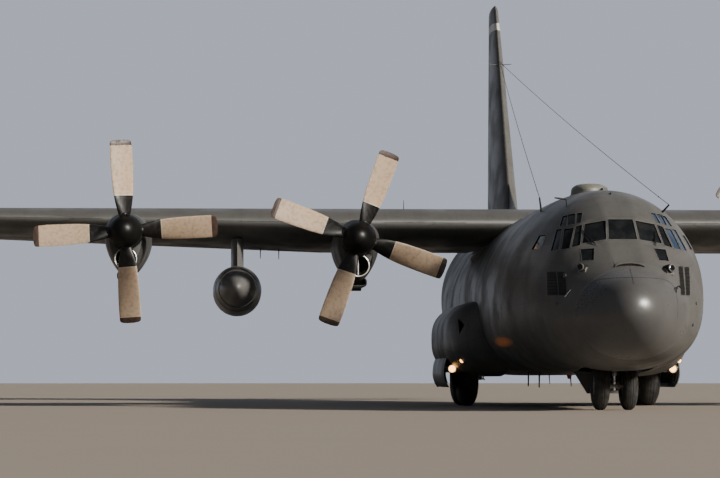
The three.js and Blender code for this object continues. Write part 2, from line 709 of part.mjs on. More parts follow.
function buildTailSurfaces() {
  const axis = at(ELEVATOR_HINGE);
  const tunnel = rod([-1100, axis, TAIL.height], [1100, axis, TAIL.height], 60);
  addPiece("tailplane", cut(tailplaneForm(0), tunnel), "grey");

  const tip = TAIL.half - 290 - CLEAR;
  const elevators = SIDES.map(([, side]) => {
    const corner = planPrism(
      [[side * 900, 27500], [side * (ELEVATOR_ROOT + 20), 27500], [side * 1280, 29000], [side * 900, 29000]],
      4000,
      6000,
    );
    return join(
      cut(tailPanel(side * ELEVATOR_ROOT, side * tip, "moving"), corner),
      rod([side * (tip - 20), axis, TAIL.height], [side * (tip + CLEAR - SEAT), axis, TAIL.height], PIN.radius, 8),
    );
  });
  const tube = rod([-1000, axis, TAIL.height], [1000, axis, TAIL.height], 45);
  addPiece("elevators", join(...elevators, tube), "grey");

  const capTop = finAt(HEIGHT);
  const capRing = section({ ...capTop, thickness: 90, chord: capTop.chord * 0.86 }, "whole");
  const cap = capRing.map(([aft, out]) => [out, at(capTop.front + 160 + aft), HEIGHT]);
  const shoulder = finAt(HEIGHT - 180);
  const rings = [finAt(RUDDER.top + END_GAP), shoulder].map((size, i) => {
    const z = i ? HEIGHT - 180 : RUDDER.top + END_GAP;
    return section(size, "whole").map(([aft, out]) => [out, at(size.front + aft), z]);
  });
  const fillet = dorsalFillet();
  const fin = join(
    finPanel(FIN.base, RUDDER.top + END_GAP + 10, "fixed"),
    finPanel(TAIL.height, RUDDER.base - END_GAP, "whole"),
    loft([...rings, cap]),
    fillet,
  );
  const body = hullLoft([17000, ...TAIL_STATIONS.slice(1, -1)], -SEAT);
  addPiece("fin", cut(fin, body, tailplaneForm(SEAT), tunnel), "grey");

  const rudder = join(
    finPanel(RUDDER.base, RUDDER.top, "moving"),
    ...hingePins(finHinge, RUDDER.base, RUDDER.top, END_GAP),
  );
  addPiece("rudder", rudder, "grey");
}

// The long fillet before the fin, a thin wedge that rises along the fuselage's back.
function dorsalFillet() {
  const rows = [
    [18600, 4660, 40],
    [20300, 5050, 150],
    [21700, 5550, 240],
    [23300, 6450, 150],
  ];
  return loft(
    rows.map(([l, top, half]) => [
      [-half, at(l), 4500],
      [half, at(l), 4500],
      [half * 0.5, at(l), top - 100],
      [15, at(l), top],
      [-15, at(l), top],
      [-half * 0.5, at(l), top - 100],
    ]),
  );
}

// Power plants

// Nacelle sections. Columns: station, half-width, top above the axis, bottom below it.
const NACELLE = [
  [NACELLE_FRONT, 400, 400, 900],
  [9250, 480, 450, 960],
  [9900, 520, 470, 980],
  [10900, 520, 440, 960],
  [12200, 500, 300, 860],
  [13300, 430, 200, 700],
  [14050, 300, 60, 480],
];
const NACELLE_POINTS = 16;

function nacelleRing([station, half, top, bottom], x, height) {
  return Array.from({ length: NACELLE_POINTS }, (_, i) => {
    const angle = (2 * Math.PI * (i + 0.5)) / NACELLE_POINTS;
    const [c, s] = [Math.cos(angle), Math.sin(angle)];
    const pinch = s < 0 ? 1 - 0.28 * s * s : 1;
    return [x + half * pinch * c, at(station), height + (s < 0 ? bottom : top) * s];
  });
}

// Propeller blade sections. Columns: distance out, chord, thickness, pitch in degrees.
const BLADE = [
  [250, 240, 200, 38],
  [600, 450, 130, 32],
  [1300, 520, 58, 22],
  [1960, 500, 34, 16],
  [PROPELLER_RADIUS, 430, 22, 15],
];

function bladeForm() {
  const turns = [0, 1, 2, 3, 4, 5].map((i) => (Math.PI * i) / 3);
  return BLADE.map(([out, chord, thickness, pitch]) =>
    turns.map((a) => {
      const across = (chord / 2) * Math.cos(a);
      const deep = (thickness / 2) * Math.sin(a);
      const [c, s] = [Math.cos(pitch * DEGREE), Math.sin(pitch * DEGREE)];
      return [across * c - deep * s, across * s + deep * c, out];
    }),
  );
}

function buildPowerPlants() {
  ENGINES.forEach(([x, height, stop], i) => {
    const number = i + 1;
    const axis = (station) => [x, at(station), height];
    const { front } = ENGINE_BLOCK;
    const body = loft(NACELLE.map((row) => nacelleRing(row, x, height)));
    const shaftRoom = rod(axis(NACELLE_FRONT - 10), axis(front), 130, 8);
    const intake = loft(
      [[NACELLE_FRONT - 10, 610, 250], [9250, 590, 235], [front, 300, 150]].map(([l, drop, size]) =>
        Array.from({ length: 10 }, (_, k) => {
          const a = (2 * Math.PI * k) / 10;
          return [x + size * Math.cos(a), at(l), height - drop + size * Math.sin(a)];
        }),
      ),
    );
    const exhaust = rod([x, at(13500), height - 220], [x, at(14200), height - 220], 190, 10);
    const scoop = box(x - 210, x + 210, 9300, 10700, height - 1080, height - 850);
    addPiece(
      `nacelle_${number}`,
      cut(join(body, scoop), engineBlock(x, height, SEAT), shaftRoom, intake, exhaust, wingBehind(x)),
      "grey",
    );
    addPiece(`engine_${number}`, engineBlock(x, height, 0), "steel");

    const spinner = turned(
      [[0, -560], [150, -520], [320, -300], [400, 120], [0, 120]],
      axis(PROPELLER_STATION + 60),
      [0, 1, 0],
      12,
    );
    const blades = [0, 90, 180, 270].map((turn) => {
      const place = new THREE.Matrix4().makeRotationY((turn + stop) * DEGREE);
      const rings = bladeForm().map((ring) =>
        ring.map((p) => {
          const [px, py, pz] = new THREE.Vector3(...p).applyMatrix4(place).toArray();
          return [px + x, py + at(PROPELLER_STATION), pz + height];
        }),
      );
      return loft(rings);
    });
    const shaft = rod(axis(PROPELLER_STATION), axis(front - SEAT), 90, 8);
    addPiece(`propeller_${number}`, join(spinner, shaft, ...blades), "blade");
  });
}

// The engine's block, whose axis falls below the propeller's towards the back.
function engineBlock(x, height, grow) {
  const { front, back, radius, drop, backDrop } = ENGINE_BLOCK;
  const sides = 12;
  const ring = (station, fall) =>
    Array.from({ length: sides }, (_, i) => {
      const angle = (2 * Math.PI * i) / sides;
      const size = radius + grow;
      return [x + size * Math.cos(angle), at(station), height - fall + size * Math.sin(angle)];
    });
  return loft([ring(front - grow, drop), ring(back + grow, backDrop)]);
}

// The wing as it cuts what hangs below it, on both sides of the wing's kink.
function wingBehind(x) {
  const side = Math.sign(x);
  return join(
    wingPanel(side * 3000, side * WING.kink, "fixed", SEAT),
    wingPanel(side * WING.kink, side * (AILERON_TIP + 10), "fixed", SEAT),
  );
}

function buildTanks() {
  const { offset, height, radius, front, length } = TANK;
  const shares = [0, 0.02, 0.08, 0.18, 0.3, 0.5, 0.7, 0.88, 1];
  const profile = shares.map((t) => {
    const size = t < 0.3 ? Math.sqrt(1 - (1 - t / 0.3) ** 2) : 1 - Math.max(0, (t - 0.45) / 0.55) ** 1.8;
    return [radius * size, t * length];
  });
  for (const [name, side] of SIDES) {
    const x = side * offset;
    const tank = turned(profile, [x, at(front), height], [0, 1, 0], 16);
    const shape = [[0, 11450], [110, 11700], [150, 12200], [120, 13300], [0, 14100]];
    const plan = [...shape, ...shape.slice(1, -1).toReversed().map(([w, l]) => [-w, l])];
    const pylon = planPrism(plan.map(([w, l]) => [x + w, l]), height + 300, 4300);
    const wing = wingBehind(x);
    const above = box(x - 400, x + 400, 11000, 15000, 4150, 5000);
    addPiece(`external_tank_${name}`, cut(join(tank, pylon), wing, above), "grey");
  }
}

// Landing gear

// Sponson sections. Columns: station, reach from the centre line, top height, bottom height.
const SPONSON = [
  [9150, 2150, 2050, 1200],
  [9350, 2450, 2330, 960],
  [10100, 2720, 2470, 740],
  [11300, 2820, 2500, 690],
  [14900, 2820, 2500, 690],
  [15600, 2620, 2330, 880],
  [16150, 2230, 1900, 1250],
];
const SPONSON_ROOT = 1500;

function sponsonForm(side, grow = 0) {
  return loft(
    SPONSON.map(([station, reach, top, bottom]) =>
      Array.from({ length: 12 }, (_, i) => {
        const angle = -Math.PI / 2 + (Math.PI * i) / 11;
        const bulge = Math.abs(Math.cos(angle)) ** 0.75 * Math.sign(Math.cos(angle));
        const middle = (top + bottom) / 2;
        return [
          side * (SPONSON_ROOT + (reach + grow - SPONSON_ROOT) * bulge),
          at(station),
          middle + ((top - bottom) / 2 + grow) * Math.sign(Math.sin(angle)) * Math.abs(Math.sin(angle)) ** 0.75,
        ];
      }),
    ),
  );
}

function bayLiner(side, grow) {
  const { front, back, inner, top } = MAIN_BAY;
  const wall = BAY_WALL + grow;
  return box(side * (inner - wall), side * 2600, front - wall, back + wall, 600, top + wall);
}

function buildMainGear() {
  const { front, back, inner, outer, top } = MAIN_BAY;
  const height = MAIN_TYRE.radius * FLAT;
  for (const [name, side] of SIDES) {
    const hull = hullLoft([9000, 17000], -SEAT);
    const pod = cut(sponsonForm(side), hull);
    const liner = bayLiner(side, 0).intersect(box(side * 1000, side * 2600, front - 60, back + 60, 760, 1900));
    const room = box(side * inner, side * outer, front, back, 0, top);
    const intake = box(side * 2180, side * 2420, 9000, 9700, 1720, 2000);
    addPiece(`sponson_${name}`, cut(join(pod, liner), room, intake), "grey");

    const strut = side * 1815;
    const legs = MAIN_STATIONS.flatMap((l) => [
      rod([strut, at(l), height - 90], [strut, at(l), top - SEAT], 72, 8),
      rod([strut, at(l), height], [side * (MAIN_TRACK + 150), at(l), height], 60, 10),
    ]);
    const tie = rod([strut, at(MAIN_STATIONS[0]), 1250], [strut, at(MAIN_STATIONS[1]), 1250], 45, 8);
    addPiece(`main_legs_${name}`, join(...legs, tie), "steel");
    MAIN_STATIONS.forEach((l, i) => {
      const label = `${i ? "rear" : "front"}_${name}`;
      const centre = [side * MAIN_TRACK, at(l), height];
      addPiece(`main_wheel_${label}`, wheelForm(centre, MAIN_TYRE, 62), "steel");
      addPiece(`main_tyre_${label}`, tyreForm(centre, MAIN_TYRE), "rubber");
    });
    buildGearDoor(name, side);
  }
}

// The wheel bay's outer door, a curved sheet that hangs from the sponson's edge.
function buildGearDoor(name, side) {
  const arc = [[2585, 1300], [2800, 1180], [2930, 980], [2960, 760], [2900, 560], [2800, 440]];
  const inward = arc.map(([x, z]) => [x - 26, z - 6]);
  const outline = [...arc, ...inward.toReversed()].map(([x, z]) => [side * x, z]);
  const door = frontPrism(outline, MAIN_BAY.front + 20, MAIN_BAY.back - 20);
  addPiece(`main_gear_door_${name}`, cut(door, sponsonForm(side, 2 * SEAT)), "grey");
}

function wheelForm(centre, { rim, width }, bore) {
  const half = width * 0.36;
  const profile = [
    [bore, -half * 0.6],
    [rim, -half],
    [rim, half],
    [bore, half * 0.6],
    [bore, -half * 0.6],
  ];
  return turned(profile, centre, [1, 0, 0], WHEEL_SIDES, Math.PI / WHEEL_SIDES);
}

// A tyre, turned so that one of its flats is lowest.
function tyreForm(centre, { radius, rim, width }) {
  const half = width / 2;
  const profile = [
    [rim + SEAT, -half * 0.72],
    [mix(rim, radius, 0.65), -half],
    [radius, -half * 0.55],
    [radius, half * 0.55],
    [mix(rim, radius, 0.65), half],
    [rim + SEAT, half * 0.72],
    [rim + SEAT, -half * 0.72],
  ];
  return turned(profile, centre, [1, 0, 0], WHEEL_SIDES, Math.PI / WHEEL_SIDES);
}

function buildNoseGear() {
  const height = NOSE_TYRE.radius * FLAT;
  const y = at(NOSE_STATION);
  const collar = 700;
  const leg = rod([0, y, collar], [0, y, NOSE_BAY.top - SEAT], 95);
  const brace = rod([0, y + 60, 1100], [0, at(NOSE_BAY.back) - SEAT - 30, 1500], 40, 8);
  addPiece("nose_leg", join(leg, brace), "steel");

  const bore = rod([-120, y, height], [120, y, height], 45 + SEAT, 12);
  const piston = rod([0, y, height - 90], [0, y, collar - SEAT], 80);
  addPiece("nose_fork", cut(piston, bore), "steel");

  const axle = rod([-NOSE_PITCH / 2, y, height], [NOSE_PITCH / 2, y, height], 45, 12);
  const rims = [-1, 1].map((side) => wheelForm([(side * NOSE_PITCH) / 2, y, height], NOSE_TYRE, 40));
  addPiece("nose_wheel_hubs", join(axle, ...rims), "steel");
  for (const [name, side] of SIDES)
    addPiece(`nose_tyre_${name}`, tyreForm([(side * NOSE_PITCH) / 2, y, height], NOSE_TYRE), "rubber");

  const door = [[-700, 790], [700, 790], [420, 330], [-420, 330]];
  const panel = frontPrism(door, NOSE_BAY.back + 60, NOSE_BAY.back + 90);
  addPiece("nose_gear_door", cut(panel, hullLoft([3400, 4200, COCKPIT_END], -SEAT)), "grey");
}

// Cockpit and roof

function buildFlightDeck() {
  const within = hullLoft([1500, 1950, 2350, 2800, 3400, 4200], WALL + SEAT);
  const floor = within.intersect(box(-2100, 2100, 1700, DECK_END, DECK_TOP - 60, DECK_TOP));
  const panel = box(-600, 600, 2440, 2560, DECK_TOP - 10, 2960);
  const console = box(-160, 160, 2500, 3100, DECK_TOP - 10, 2700);
  const seats = [-1, 1].flatMap((side) => [
    box(side * 400, side * 900, 2850, 3350, DECK_TOP - 10, 2720),
    box(side * 420, side * 880, 3290, 3400, 2700, 3420),
  ]);
  addPiece("flight_deck", join(floor, panel, console, ...seats), "cabin");

  const dome = turned(
    [[0, 0], [410, 0], [410, 130], [330, 250], [0, 250]],
    [0, at(6750), 4620 + SEAT],
    [0, 0, 1],
    16,
  );
  addPiece("antenna_dome", dome, "cream");
}

buildFuselage();
buildWing();
buildTailSurfaces();
buildPowerPlants();
buildTanks();
buildMainGear();
buildNoseGear();
buildFlightDeck();

// The lines that the moving pieces turn about, in millimetres at full size.
aircraft.userData.hinges = {
  aileron: [wingHinge(AILERON_ROOT), wingHinge(AILERON_TIP)],
  flapInner: [wingHinge(FLAP_ROOT), wingHinge(WING.kink)],
  flapOuter: [wingHinge(WING.kink), wingHinge(AILERON_ROOT)],
  rudder: [finHinge(RUDDER.base), finHinge(RUDDER.top)],
  elevator: [0, at(ELEVATOR_HINGE), TAIL.height],
  crewDoor: crewDoorHinge(),
  ramp: [0, at(HOLD_END + RAMP.frontGap), RAMP.hinge],
  cargoDoor: [0, at(CARGO_DOOR.back - CARGO_DOOR.backGap), CARGO_DOOR.hinge],
};

export default aircraft;
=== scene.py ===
import logging
import math
from collections.abc import Callable, Iterable, Sequence
from dataclasses import dataclass, field
from enum import Enum

import bpy
import numpy as np
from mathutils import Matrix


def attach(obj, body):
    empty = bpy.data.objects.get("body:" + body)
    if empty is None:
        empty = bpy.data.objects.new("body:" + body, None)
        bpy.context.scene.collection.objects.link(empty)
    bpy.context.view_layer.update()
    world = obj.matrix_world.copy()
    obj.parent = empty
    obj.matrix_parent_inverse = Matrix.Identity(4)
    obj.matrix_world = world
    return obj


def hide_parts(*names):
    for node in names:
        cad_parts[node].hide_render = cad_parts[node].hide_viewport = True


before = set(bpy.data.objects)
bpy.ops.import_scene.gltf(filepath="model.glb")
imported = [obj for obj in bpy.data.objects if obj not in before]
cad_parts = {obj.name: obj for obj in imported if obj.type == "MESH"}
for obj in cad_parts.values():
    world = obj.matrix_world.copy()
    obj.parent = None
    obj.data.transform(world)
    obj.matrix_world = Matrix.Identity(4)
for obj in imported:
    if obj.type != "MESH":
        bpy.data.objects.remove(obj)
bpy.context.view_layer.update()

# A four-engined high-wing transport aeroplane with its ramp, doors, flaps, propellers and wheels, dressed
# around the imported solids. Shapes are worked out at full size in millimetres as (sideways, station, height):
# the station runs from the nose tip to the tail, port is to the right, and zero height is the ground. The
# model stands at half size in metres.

LOG = logging.getLogger("transport")
Array = np.ndarray
MM = 0.0005
ORIGIN_STATION = 14895.0
SIDES = (("left", 1), ("right", -1))
# The angle from which an edge stays sharp, and the gap round a moving piece
SHARP = math.radians(34)
GAP = 14.0


# Surfaces


def place(points: Array) -> Array:
    """Full-size millimetres to model metres: each length times MM, stations counted from ORIGIN_STATION."""
    return (np.asarray(points, float) - np.array([0.0, ORIGIN_STATION, 0.0])) * MM


@dataclass
class Surface:
    """A mesh being made: points in full-size millimetres, faces, and each face's tone (its material)."""

    points: Array
    faces: list[tuple[int, ...]]
    tones: list[int]

    def joined(self, *others: "Surface") -> "Surface":
        """This surface and the others as one, their points numbered on."""
        points, faces, tones = [self.points], list(self.faces), list(self.tones)
        count = len(self.points)
        for other in others:
            faces += [tuple(i + count for i in face) for face in other.faces]
            tones += other.tones
            points.append(other.points)
            count += len(other.points)
        return Surface(np.concatenate(points), faces, tones)

    def mirrored(self) -> "Surface":
        """The surface on the other side: sideways times -1, each face walked the other way."""
        return Surface(self.points * np.array([-1.0, 1.0, 1.0]), [f[::-1] for f in self.faces], self.tones)

    def on(self, side: int) -> "Surface":
        """The surface as it is on the port side, or mirrored to starboard."""
        return self if side > 0 else self.mirrored()

    def moved(self, offset: Sequence[float]) -> "Surface":
        """The surface shifted by an offset."""
        return Surface(self.points + np.asarray(offset, float), self.faces, self.tones)

    def turned(self, axis: int, degrees: float, centre: Sequence[float] = (0, 0, 0)) -> "Surface":
        """The surface turned about one axis through a centre.

        Args:
            axis: 0, 1 or 2 for sideways, station or height.
            degrees: the turn by the right-hand rule.
            centre: a point of the axis.

        Returns:
            The turned surface: p' = c + R (p - c).
        """
        middle = np.asarray(centre, float)
        return Surface((self.points - middle) @ rotation(axis, degrees).T + middle, self.faces, self.tones)

    def outward(self) -> "Surface":
        """The surface with its faces turned outwards: all of them turn if the signed volume, a sixth of the
        sum of a . (b x c) over a fan of triangles, is negative."""
        volume = 0.0
        for size in {len(f) for f in self.faces}:
            index = np.array([f for f in self.faces if len(f) == size])
            for k in range(1, size - 1):
                a, b, c = (self.points[index[:, j]] for j in (0, k, k + 1))
                volume += float(np.einsum("ij,ij->", a, np.cross(b, c)))
        if volume >= 0:
            return self
        return Surface(self.points, [f[::-1] for f in self.faces], self.tones)


def rotation(axis: int, degrees: float) -> Array:
    """The turn matrix about one axis: cosines on the diagonal, sines off it, by the right-hand rule.

    Args:
        axis: 0, 1 or 2 for sideways, station or height.
        degrees: the turn.

    Returns:
        The 3 x 3 matrix.
    """
    c, s = math.cos(math.radians(degrees)), math.sin(math.radians(degrees))
    matrix = np.eye(3)
    i, j = [(1, 2), (2, 0), (0, 1)][axis]
    matrix[i, i] = matrix[j, j] = c
    matrix[j, i], matrix[i, j] = s, -s
    return matrix


def around(points: int) -> Array:
    """Angles evenly round a circle, from nought."""
    return np.linspace(0, 2 * math.pi, points, endpoint=False)


def union(surfaces: Iterable[Surface]) -> Surface:
    """Several surfaces as one mesh."""
    first, *others = list(surfaces)
    return first.joined(*others)


def grid(points: Array, closed: bool = True, looped: bool = False, capped: bool = True,
         tone: int = 0) -> Surface:
    """A surface over a grid of points, row by row.

    Args:
        points: rows x columns x 3.
        closed: whether each row is a ring.
        looped: whether the last row joins the first.
        capped: whether the end rings are filled, when the rows don't join.
        tone: the faces' tone.

    Returns:
        Quads between (r, c), (r, c + 1), (r + 1, c + 1) and (r + 1, c), each index taken round where it is
        closed, and one face on each end ring.
    """
    rows, columns = points.shape[:2]
    r = np.arange(rows if looped else rows - 1)[:, None]
    c = np.arange(columns if closed else columns - 1)[None, :]
    after, beside = (r + 1) % rows, (c + 1) % columns
    quads = np.stack([r * columns + c, r * columns + beside, after * columns + beside, after * columns + c],
                     -1)
    faces = [tuple(q) for q in quads.reshape(-1, 4).tolist()]
    if closed and capped and not looped:
        faces.append(tuple(range(columns))[::-1])
        faces.append(tuple(range((rows - 1) * columns, rows * columns)))
    surface = Surface(points.reshape(-1, 3), faces, [tone] * len(faces))
    return surface.outward() if closed and (capped or looped) else surface


def prism(outline: Array, axis: int, start: float, end: float, tone: int = 0) -> Surface:
    """A flat outline drawn out along one axis.

    Args:
        outline: corners as pairs in the other two axes, in the order of those axes.
        axis: the axis it is drawn along.
        start: one end on the axis.
        end: the other end.
        tone: the faces' tone.

    Returns:
        The closed prism.
    """
    flat = np.asarray(outline, float)
    rest = [k for k in range(3) if k != axis]
    rows = np.zeros((2, len(flat), 3))
    rows[:, :, rest] = flat
    rows[0, :, axis], rows[1, :, axis] = start, end
    return grid(rows, tone=tone)


def box(x: tuple[float, float], y: tuple[float, float], z: tuple[float, float], tone: int = 0) -> Surface:
    """A block from its three ranges, for cutting with and for small brackets."""
    return prism([(x[0], y[0]), (x[1], y[0]), (x[1], y[1]), (x[0], y[1])], 2, z[0], z[1], tone)


def turned(profile: Array, centre: Sequence[float], axis: int, points: int = 48, tone: int = 0,
           looped: bool = False) -> Surface:
    """A turned form.

    Args:
        profile: pairs of radius and place along the axis.
        centre: the origin on the axis.
        axis: the axis that it is turned about.
        points: how many points round.
        tone: the faces' tone.
        looped: whether the profile closes on itself, as a ring's does.

    Returns:
        Each profile pair as a ring: centre + r (cos a, sin a) across the axis, h along it.
    """
    radius, height = np.asarray(profile, float).T
    angle = around(points)
    across = [k for k in range(3) if k != axis]
    rows = np.zeros((len(radius), points, 3))
    rows[:, :, axis] = height[:, None]
    rows[:, :, across[0]] = radius[:, None] * np.cos(angle)
    rows[:, :, across[1]] = radius[:, None] * np.sin(angle)
    return grid(rows + np.asarray(centre, float), looped=looped, tone=tone)


def tube(path: Array, radius: float | Array, points: int = 10, tone: int = 0) -> Surface:
    """A round bar along a path.

    Args:
        path: its middle points.
        radius: one radius, or one for each point.
        points: how many points round.
        tone: the faces' tone.

    Returns:
        At each point a ring across the path's direction t: p + r (cos a u + sin a v), with u = t x w and
        v = t x u for one w that lies across the whole path.
    """
    line = np.asarray(path, float)
    way = np.gradient(line, axis=0)
    way /= np.linalg.norm(way, axis=1, keepdims=True)
    least = np.eye(3)[np.argmin(np.abs(line[-1] - line[0]))]
    u = np.cross(way, least)
    u /= np.linalg.norm(u, axis=1, keepdims=True)
    v = np.cross(way, u)
    angle = around(points)[None, :, None]
    size = np.broadcast_to(np.asarray(radius, float), len(line))[:, None, None]
    return grid(line[:, None] + size * (np.cos(angle) * u[:, None] + np.sin(angle) * v[:, None]), tone=tone)


def torus(centre: Sequence[float], axis: int, radius: float, thick: float,
          stretch: tuple[float, float] = (1, 1), points: int = 48, tone: int = 0) -> Surface:
    """A ring of round section: (R + r cos b) round the axis, r sin b along it, then stretched across it.

    Args:
        centre: the ring's middle.
        axis: the axis that it goes round.
        radius: from the axis to the section's middle.
        thick: the section's radius.
        stretch: factors across the axis.
        points: how many points round.
        tone: the faces' tone.

    Returns:
        The closed ring.
    """
    b = around(12)
    ring = turned(np.stack([radius + thick * np.cos(b), thick * np.sin(b)], 1), (0, 0, 0), axis, points, tone,
                  True)
    factors = np.ones(3)
    factors[[k for k in range(3) if k != axis]] = stretch
    return Surface(ring.points * factors + np.asarray(centre, float), ring.faces, ring.tones)


def offset_outline(outline: Sequence[Sequence[float]], distance: float) -> Array:
    """A convex outline with each edge moved outwards: each corner c goes to
    c + d (n1 + n2) / (1 + n1 . n2), where n1 and n2 are the outward normals of its two edges.

    Args:
        outline: the corners in order.
        distance: how far the edges move.

    Returns:
        The moved corners.
    """
    corners = np.asarray(outline, float)
    edges = np.roll(corners, -1, 0) - corners
    normals = np.stack([edges[:, 1], -edges[:, 0]], 1) / np.linalg.norm(edges, axis=1, keepdims=True)
    area = float(np.sum(corners[:, 0] * np.roll(corners[:, 1], -1) - np.roll(corners[:, 0], -1) * corners[:,
                                                                                                          1]))
    normals = normals * math.copysign(1.0, area)
    before = np.roll(normals, 1, 0)
    return corners + distance * (normals + before) / (1 + np.sum(normals * before, 1, keepdims=True))


def smooth_rows(table: Array, stations: Array) -> Array:
    """A table's rows at any stations, without overshoot.

    Args:
        table: rows that start with a station.
        stations: where to read it.

    Returns:
        Cubic Hermite values of each column. The slope at a row is the harmonic mean of the slopes on both
        sides, or nought where they differ in sign.
    """
    knots, values = table[:, 0], table[:, 1:]
    slopes = np.diff(values, axis=0) / np.diff(knots)[:, None]
    product = slopes[:-1] * slopes[1:]
    total = slopes[:-1] + slopes[1:]
    inner = np.where(product > 0, 2 * product / np.where(total == 0, 1, total), 0)
    tangents = np.concatenate([slopes[:1], inner, slopes[-1:]])
    row = np.clip(np.searchsorted(knots, stations, "right") - 1, 0, len(knots) - 2)
    width = (knots[row + 1] - knots[row])[:, None]
    t = np.clip((stations - knots[row])[:, None] / width, 0, 1)
    return (
        values[row] * (1 + 2 * t) * (1 - t) ** 2
        + tangents[row] * width * t * (1 - t) ** 2
        + values[row + 1] * t * t * (3 - 2 * t)
        - tangents[row + 1] * width * t * t * (1 - t)
    )


def smoothstep(low: float, high: float, value: Array) -> Array:
    """Nought below low, one above high, and 3 t^2 - 2 t^3 between."""
    t = np.clip((value - low) / (high - low), 0, 1)
    return t * t * (3 - 2 * t)


# Finishes


class Term:
    """A number that runs through a material's nodes. Sums, products and the like add Math nodes."""

    def __init__(self, paint: "Paint", link: bpy.types.NodeSocket | float) -> None:
        """Wraps a node's output socket, or a plain number."""
        self.paint, self.link = paint, link

    def math(self, operation: str, *others: "Term | float") -> "Term":
        """Adds one Math node with this term first.

        Args:
            operation: the node's operation.
            others: its second and third values.

        Returns:
            The node's result.
        """
        values = {i: other.link if isinstance(other, Term) else other
                  for i, other in enumerate((self, *others))}
        return self.paint.add("ShaderNodeMath", {"operation": operation}, values)

    def __add__(self, other: "Term | float") -> "Term":
        """self + other"""
        return self.math("ADD", other)

    def __radd__(self, other: float) -> "Term":
        """other + self"""
        return self.math("ADD", other)

    def __sub__(self, other: "Term | float") -> "Term":
        """self - other"""
        return self.math("SUBTRACT", other)

    def __rsub__(self, other: float) -> "Term":
        """other - self"""
        return Term(self.paint, other).math("SUBTRACT", self)

    def __mul__(self, other: "Term | float") -> "Term":
        """self * other"""
        return self.math("MULTIPLY", other)

    def __rmul__(self, other: float) -> "Term":
        """other * self"""
        return self.math("MULTIPLY", other)

    def __truediv__(self, other: "Term | float") -> "Term":
        """self / other"""
        return self.math("DIVIDE", other)

    def rise(self, low: float, high: float) -> "Term":
        """Nought below low, one above high, straight between; falls where low is above high."""
        return ((self - low) / (high - low)).math("MINIMUM", 1.0).math("MAXIMUM", 0.0)

    def lines(self, spacing: float, width: float) -> "Term":
        """One on lines of a width at every multiple of the spacing: 1 - |distance to the next| / (width / 2),
        not below nought."""
        share = (self / spacing + 0.5).math("FRACT") - 0.5
        return (1 - share.math("ABSOLUTE") * (2 * spacing / width)).math("MAXIMUM", 0.0)


Colour = tuple[float, float, float]


class Paint:
    """A material under construction, around one Principled shader."""

    def __init__(self, name: str) -> None:
        """Makes the material and its shader.

        Args:
            name: the material's name.
        """
        self.material = bpy.data.materials.new(name)
        self.material.use_nodes = True
        self.tree = self.material.node_tree
        self.shader = self.tree.nodes["Principled BSDF"]
        self.spot = self.add("ShaderNodeTexCoord", {}, {}, "Object")
        parts = self.tree.nodes.new("ShaderNodeSeparateXYZ")
        self.tree.links.new(self.spot.link, parts.inputs[0])
        self.x, self.y, self.z = (Term(self, parts.outputs[k]) for k in range(3))

    def add(self, kind: str, settings: dict, values: dict, output: str | int = 0) -> Term:
        """Adds a node.

        Args:
            kind: the node's type.
            settings: its properties, set first.
            values: a number, colour or link for each socket, by name or number.
            output: which output to give back.

        Returns:
            That output.
        """
        node = self.tree.nodes.new(kind)
        for key, value in settings.items():
            setattr(node, key, value)
        for key, value in values.items():
            self.feed(node.inputs[key], value)
        return Term(self, node.outputs[output])

    def feed(self, socket: bpy.types.NodeSocket,
             value: "Term | float | Colour | bpy.types.NodeSocket") -> None:
        """Sets a socket to a value, or links it to a term.

        Args:
            socket: the node's input.
            value: a number, colour, term or output.
        """
        link = value.link if isinstance(value, Term) else value
        if isinstance(link, bpy.types.NodeSocket):
            self.tree.links.new(link, socket)
        elif isinstance(link, tuple) and len(link) == 3 and len(socket.default_value) == 4:
            socket.default_value = (*link, 1.0)
        else:
            socket.default_value = link

    def set(self, **values: "Term | float | Colour") -> None:
        """Sets the shader's sockets, with _ for a space and each word's first letter raised."""
        for key, value in values.items():
            name = " ".join(w if w in ("IOR",) else w.capitalize() for w in key.split("_"))
            self.feed(self.shader.inputs[name], value)

    def noise(self, scale: float, detail: float = 3, stretch: Colour = (1, 1, 1), rough: float = 0.5) -> Term:
        """Smooth noise on the object's coordinates, stretched by a factor on each axis."""
        spot = self.add("ShaderNodeMapping", {}, {"Vector": self.spot, "Scale": stretch})
        values = {"Vector": spot, "Scale": scale, "Detail": detail, "Roughness": rough}
        return self.add("ShaderNodeTexNoise", {}, values)

    def mix(self, share: "Term | float", low: "Term | Colour", high: "Term | Colour") -> Term:
        """A colour between two, by a share."""
        settings = {"data_type": "RGBA", "clamp_factor": True}
        return self.add("ShaderNodeMix", settings, {0: share, 6: low, 7: high}, 2)

    def relief(self, height: Term, depth: float) -> None:
        """Gives the surface a relief: the height's share of a depth in metres."""
        bump = self.add("ShaderNodeBump", {}, {"Height": height, "Distance": depth, "Strength": 1.0})
        self.feed(self.shader.inputs["Normal"], bump)


class Panelling(Enum):
    """How a painted surface's panel lines run."""

    NONE = "none"
    HULL = "hull"
    WING = "wing"
    FIN = "fin"
    NACELLE = "nacelle"


